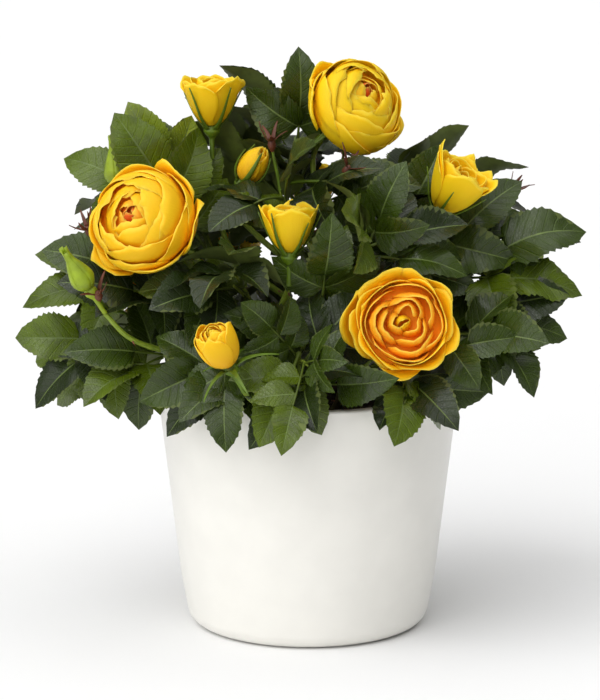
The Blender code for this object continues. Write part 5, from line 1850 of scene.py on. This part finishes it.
def make_stems(settings, rng):
    """Make the flower stems, and give their prickly paths."""
    radii = np.linspace(STEM_RADIUS * STEM_FOOT, NECK_RADIUS, STEM_FINE_RINGS)
    stems, paths = Sheaf(), []
    for name, path in plant().stems.items():
        flower = FLOWERS[name]
        tops_cane = flower.leaves_at is None
        foot = cane_path(CANES[flower.host])[-2] if tops_cane \
            else on_cane(flower.host, flower.leaves_at)
        path = add_limb(stems, [foot, *path], radii, STEM_FINE_SIDES, settings, rng,
                        YOUNG_RELIEF, STEM_KNOTS, STEM_START if tops_cane else 0)
        paths.append(path[:int(len(path) * PRICKLY_STEM)])
    look = bark_material("young_stem_skin", settings.stem_colour, settings.stem_light, 0.48)
    make_piece(stems, "flower_stems", [look], "bark", *("stem_of_" + name for name in FLOWERS))
    return paths


def make_twigs(settings, rng):
    """Make the shoots, twigs and leaf stalks, and give the shoots' prickly paths."""
    radii = np.linspace(SHOOT_RADIUS, SHOOT_TIP_RADIUS * SHOOT_END, SHOOT_FINE_RINGS)
    stalk_radii = np.linspace(RACHIS_RADII[0], RACHIS_RADII[1] * STALK_END, STALK_RINGS)
    stalk_radii[0] *= STALK_FOOT
    twigs, paths = Sheaf(), []
    for name, mass in MASSES.items():
        points = [on_cane(mass.host, mass.leaves_at), *plant().shoots[name]]
        path = add_limb(twigs, points, radii, SHOOT_FINE_SIDES, settings, rng, YOUNG_RELIEF)
        paths.append(path[:int(len(path) * PRICKLY_SHOOT)])
        fine_twigs, fine_leaves = plant().finer[name]
        for twig in fine_twigs:
            add_tube(twigs, smooth_path(twig, TWIG_RINGS),
                     np.linspace(*FINE_TWIG_RADII, TWIG_RINGS), STALK_SIDES, 0)
        for leaves, size in ((plant().leaves[name], 1.0), (fine_leaves, FINE_STALK_SIZE)):
            for _, joints, _ in leaves:
                add_tube(twigs, smooth_path(joints, STALK_RINGS), stalk_radii * size,
                         STALK_SIDES, 1)
    looks = [bark_material("green_shoot_skin", settings.twig_colour, settings.stem_light, 0.5),
             skin_material("leaf_stalk_skin", settings.twig_colour)]
    make_piece(twigs, "twigs_and_leaf_stalks", looks, "bark")
    return paths


class ROSEBUSH_OT_limbs(bpy.types.Operator):
    """Make the canes, flower stems, leafy shoots and finer twigs"""

    bl_idname = "rosebush.limbs"
    bl_label = "Limbs"

    def execute(self, context):
        rng = random.Random(LIMB_SEED)
        grown["spine"] = [path for make in (make_canes, make_stems, make_twigs)
                          for path in make(context.scene.rose_limbs, rng)]
        return {"FINISHED"}


class ROSEBUSH_OT_prickles(bpy.types.Operator):
    """Set prickles along the canes, stems and shoots"""

    bl_idname = "rosebush.prickles"
    bl_label = "Prickles"

    def execute(self, context):
        settings = context.scene.rose_limbs
        edges, start = [], 0
        for path in grown["spine"]:
            edges += [(k, k + 1) for k in range(start, start + len(path) - 1)]
            start += len(path)
        mesh = bpy.data.meshes.new("prickles")
        mesh.from_pydata(np.concatenate(grown["spine"]).tolist(), edges, [])
        made = new_object("prickles", mesh)
        look = skin_material("red_brown_prickle_skin", settings.prickle_colour)
        run_nodes(made, prickle_tree(look), prickle_length=settings.prickle_length + STEM_RADIUS,
                  spacing=settings.prickle_spacing, seed=PRICKLE_SEED)
        finish_piece(made, "bark")
        return {"FINISHED"}


LEAF_TINTS = ("deep", "dark", "mid", "light", "lime")
TINT_EDGES = (0.30, 0.62, 0.84, 0.96)  # where one green gives way to the next


def leaf_tint(rng, tip, small):
    """Which green a leaf has: deeper inside the crown and lighter at its outside and tips, partly
    for the leaves' age and partly as painted shade.
    """
    away = tip - CROWN_HEART
    out = math.sqrt(sum((away[i] / CROWN_GIRTH[i])**2 for i in range(3)))
    # Nearer the crown's heart a leaf gets a deeper green, partly for older leaves and partly as
    # painted shade; small leaves are younger and lighter.
    share = 0.55 * out + rng.uniform(-0.25, 0.35) + (0.12 if small else 0)
    return sum(share > edge for edge in TINT_EDGES)


class ROSEBUSH_OT_leaves(bpy.types.Operator):
    """Make every leaf, one piece for each leafy mass"""

    bl_idname = "rosebush.leaves"
    bl_label = "Leaves"

    def execute(self, context):
        settings = context.scene.rose_leaves
        rng = np.random.default_rng(LEAF_SEED)
        tint_rng = random.Random(TINT_SEED)
        uppers, unders = [], []
        for tint_name in LEAF_TINTS:
            colour = getattr(settings, tint_name)
            gloss = 0.42 if tint_name == "lime" else 0.36
            uppers.append(leaf_material("waxy_rose_leaf_" + tint_name, colour, gloss))
            pale = [0.45 * c + 0.55 * u for c, u in zip(colour, settings.underside)]
            unders.append(skin_material("leaf_underside_" + tint_name, pale, 0.62))
        looks = uppers + unders + [skin_material("leaf_midrib", settings.midrib)]
        for name in MASSES:
            sheaf = Sheaf()
            for leaves, rows, small in ((plant().leaves[name], settings.rows, False),
                                        (plant().finer[name][1], settings.fine_rows, True)):
                for (_, _, across), joints, leaflets in leaves:
                    shade = leaf_tint(tint_rng, joints[-1], small)
                    own = (shade, len(looks) - 1, shade + len(uppers))
                    for leaflet in leaflets:
                        add_leaflet(sheaf, joints, across, leaflet, rows, own, settings, rng)
            make_piece(sheaf, name.replace("leaves_", "foliage_"), looks, "leaf", name)
        return {"FINISHED"}


def make_flower(name, flower, petal_looks, green, settings, rng):
    """Make a flower's petals, a bloom's heart, the hip and the sepals."""
    petals, body, leafy = Sheaf(), Sheaf(), Sheaf()
    closed = flower.kind == "green_bud"
    if not closed:
        add_petals(petals, name, flower, rng)
        make_piece(petals, "petals_of_" + name, petal_looks, "petals", name,
                   wall=(settings.petal_thickness, 0))
    if flower.kind == "bloom":
        make_piece(filling(name, flower), "heart_of_" + name, petal_looks, "petals")
    add_hip(body, name, flower, int(closed))
    add_sepals(leafy, name, flower, int(closed), rng)
    make_piece(body, "hip_of_" + name, green, "green_bud", *([name] if closed else []))
    make_piece(leafy, "sepals_of_" + name, green, "green_bud", wall=(SEPAL_THICK, -1))


class ROSEBUSH_OT_flowers(bpy.types.Operator):
    """Make the petals, sepals and hips of every flower and bud"""

    bl_idname = "rosebush.flowers"
    bl_label = "Flowers"

    def execute(self, context):
        settings = context.scene.rose_flowers
        rng = random.Random(FLOWER_SEED)
        lemon, golden, orange, heart = (tuple(getattr(settings, key)) for key in
                                        ("lemon", "golden", "orange", "heart"))
        # Each petal deepens at its base to the next colour inward, partly painted shade; the
        # heart petals darken to 0.7 of their colour, painted shade deep in the flower.
        petal_looks = [petal_material("lemon_petal", lemon, golden, 0.10, 0.65),
                       petal_material("golden_petal", golden, orange, 0.10, 0.70),
                       petal_material("orange_petal", orange, heart, 0.05, 0.70),
                       petal_material("heart_petal", heart, scaled(heart, 0.7), 0.2, 0.9)]
        green = [skin_material("sepal_skin", settings.sepal),
                 skin_material("green_bud_skin", settings.green_bud)]
        for name, flower in FLOWERS.items():
            make_flower(name, flower, petal_looks, green, settings, rng)

        body, leafy = Sheaf(), Sheaf()
        for spot, host in DRIED:
            add_dried(body, leafy, spot, plant().shoots[host], rng)
        dried = [green[0], skin_material("withered_calyx_skin", settings.dried)]
        make_piece(body, "dried_hips", dried, "bark")
        make_piece(leafy, "dried_sepals", dried, "bark", wall=(DRIED_THICK, 0))
        return {"FINISHED"}


CAMERA_TARGET = Vector((-0.0037, 0.0, 0.1281))
CAMERA_SCALE = 0.4605e-3  # metres that a pixel spans at the pot's axis
PICTURE_HEIGHT = 700  # pixels
SENSOR = 36  # millimetres
FLOOR_REACH = 6.0
KEY_WIDTH, TOP_WIDTH = 70, 90  # degrees of the sky that each light fills
KEY_PLACE, TOP_PLACE = (228, 36), (250, 84)  # where it comes from, as azimuth and lift


def facing(name, data, way):
    """A light's or the camera's object, turned to look along a way."""
    made = new_object(name, data)
    made.rotation_euler = way.to_track_quat("-Z", "Y").to_euler()
    return made


def far_light(name, strength, width, comes_from):
    """A broad even light; width in degrees, comes_from as azimuth and lift."""
    light = bpy.data.lights.new(name, "SUN")
    light.energy = strength
    light.angle = math.radians(width)
    facing(name, light, -heading(*comes_from))


class ROSEBUSH_OT_stage(bpy.types.Operator):
    """Make the floor, the lights and the camera"""

    bl_idname = "rosebush.stage"
    bl_label = "Stage"

    def execute(self, context):
        settings = context.scene.rose_stage
        # Matt white studio paper: the faintest clouds in it, and only a soft shadow on it.
        paper = settings.floor_colour
        look, tree = new_material("matt_studio_paper", paper, 0.9)
        dress(look, tint(tree, mottle(tree, 40, 1), 0.3, 0.7, scaled(paper, 0.995), paper))
        sheaf = Sheaf()
        corners = [(x * FLOOR_REACH, y * FLOOR_REACH) for x, y in (
            (-1, -1), (1, -1), (1, 1), (-1, 1))]
        sheaf.add([(*corner, 0) for corner in corners], [(0, 1, 2, 3)], 0, corners)
        sheaf.make("floor", [look])

        far_light("key_light", settings.key_strength, KEY_WIDTH, KEY_PLACE)
        far_light("top_light", settings.top_strength, TOP_WIDTH, TOP_PLACE)
        world = bpy.data.worlds.new("white_room")
        world.use_nodes = True
        room = world.node_tree.nodes["Background"].inputs
        room["Color"].default_value = (1, 1, 1, 1)
        room["Strength"].default_value = settings.world_strength
        context.scene.world = world
        context.scene.view_settings.view_transform = "Standard"

        lens = bpy.data.cameras.new("camera")
        lens.sensor_width = SENSOR
        lens.lens = SENSOR * (settings.camera_distance / CAMERA_SCALE) / PICTURE_HEIGHT
        away = Vector((0, -math.cos(settings.camera_lift), math.sin(settings.camera_lift)))
        camera = facing("camera", lens, -away)
        camera.location = CAMERA_TARGET + away * settings.camera_distance
        context.scene.camera = camera
        return {"FINISHED"}


OPERATORS = (ROSEBUSH_OT_pot, ROSEBUSH_OT_limbs, ROSEBUSH_OT_prickles, ROSEBUSH_OT_leaves,
             ROSEBUSH_OT_flowers, ROSEBUSH_OT_stage)


class ROSEBUSH_PT_panel(bpy.types.Panel):
    """Sizes, colours and steps of the rose bush"""

    bl_idname = "ROSEBUSH_PT_panel"
    bl_label = "Rose Bush"
    bl_space_type = "VIEW_3D"
    bl_region_type = "UI"
    bl_category = "Rose Bush"

    def draw(self, context):
        for operator in OPERATORS:
            self.layout.operator(operator.bl_idname)
        for key, group in SETTINGS.items():
            box = self.layout.box()
            box.label(text=key.replace("_", " ").title())
            for prop in group.__annotations__:
                box.prop(getattr(context.scene, key), prop)


def register():
    for made in (*SETTINGS.values(), *OPERATORS, ROSEBUSH_PT_panel):
        bpy.utils.register_class(made)
    for key, group in SETTINGS.items():
        setattr(bpy.types.Scene, key, PointerProperty(type=group))


def unregister():
    for key in SETTINGS:
        delattr(bpy.types.Scene, key)
    for made in reversed((*SETTINGS.values(), *OPERATORS, ROSEBUSH_PT_panel)):
        bpy.utils.unregister_class(made)


def main():
    register()
    for operator in OPERATORS:
        group, step = operator.bl_idname.split(".")
        getattr(getattr(bpy.ops, group), step)()


if __name__ == "__main__":
    main()
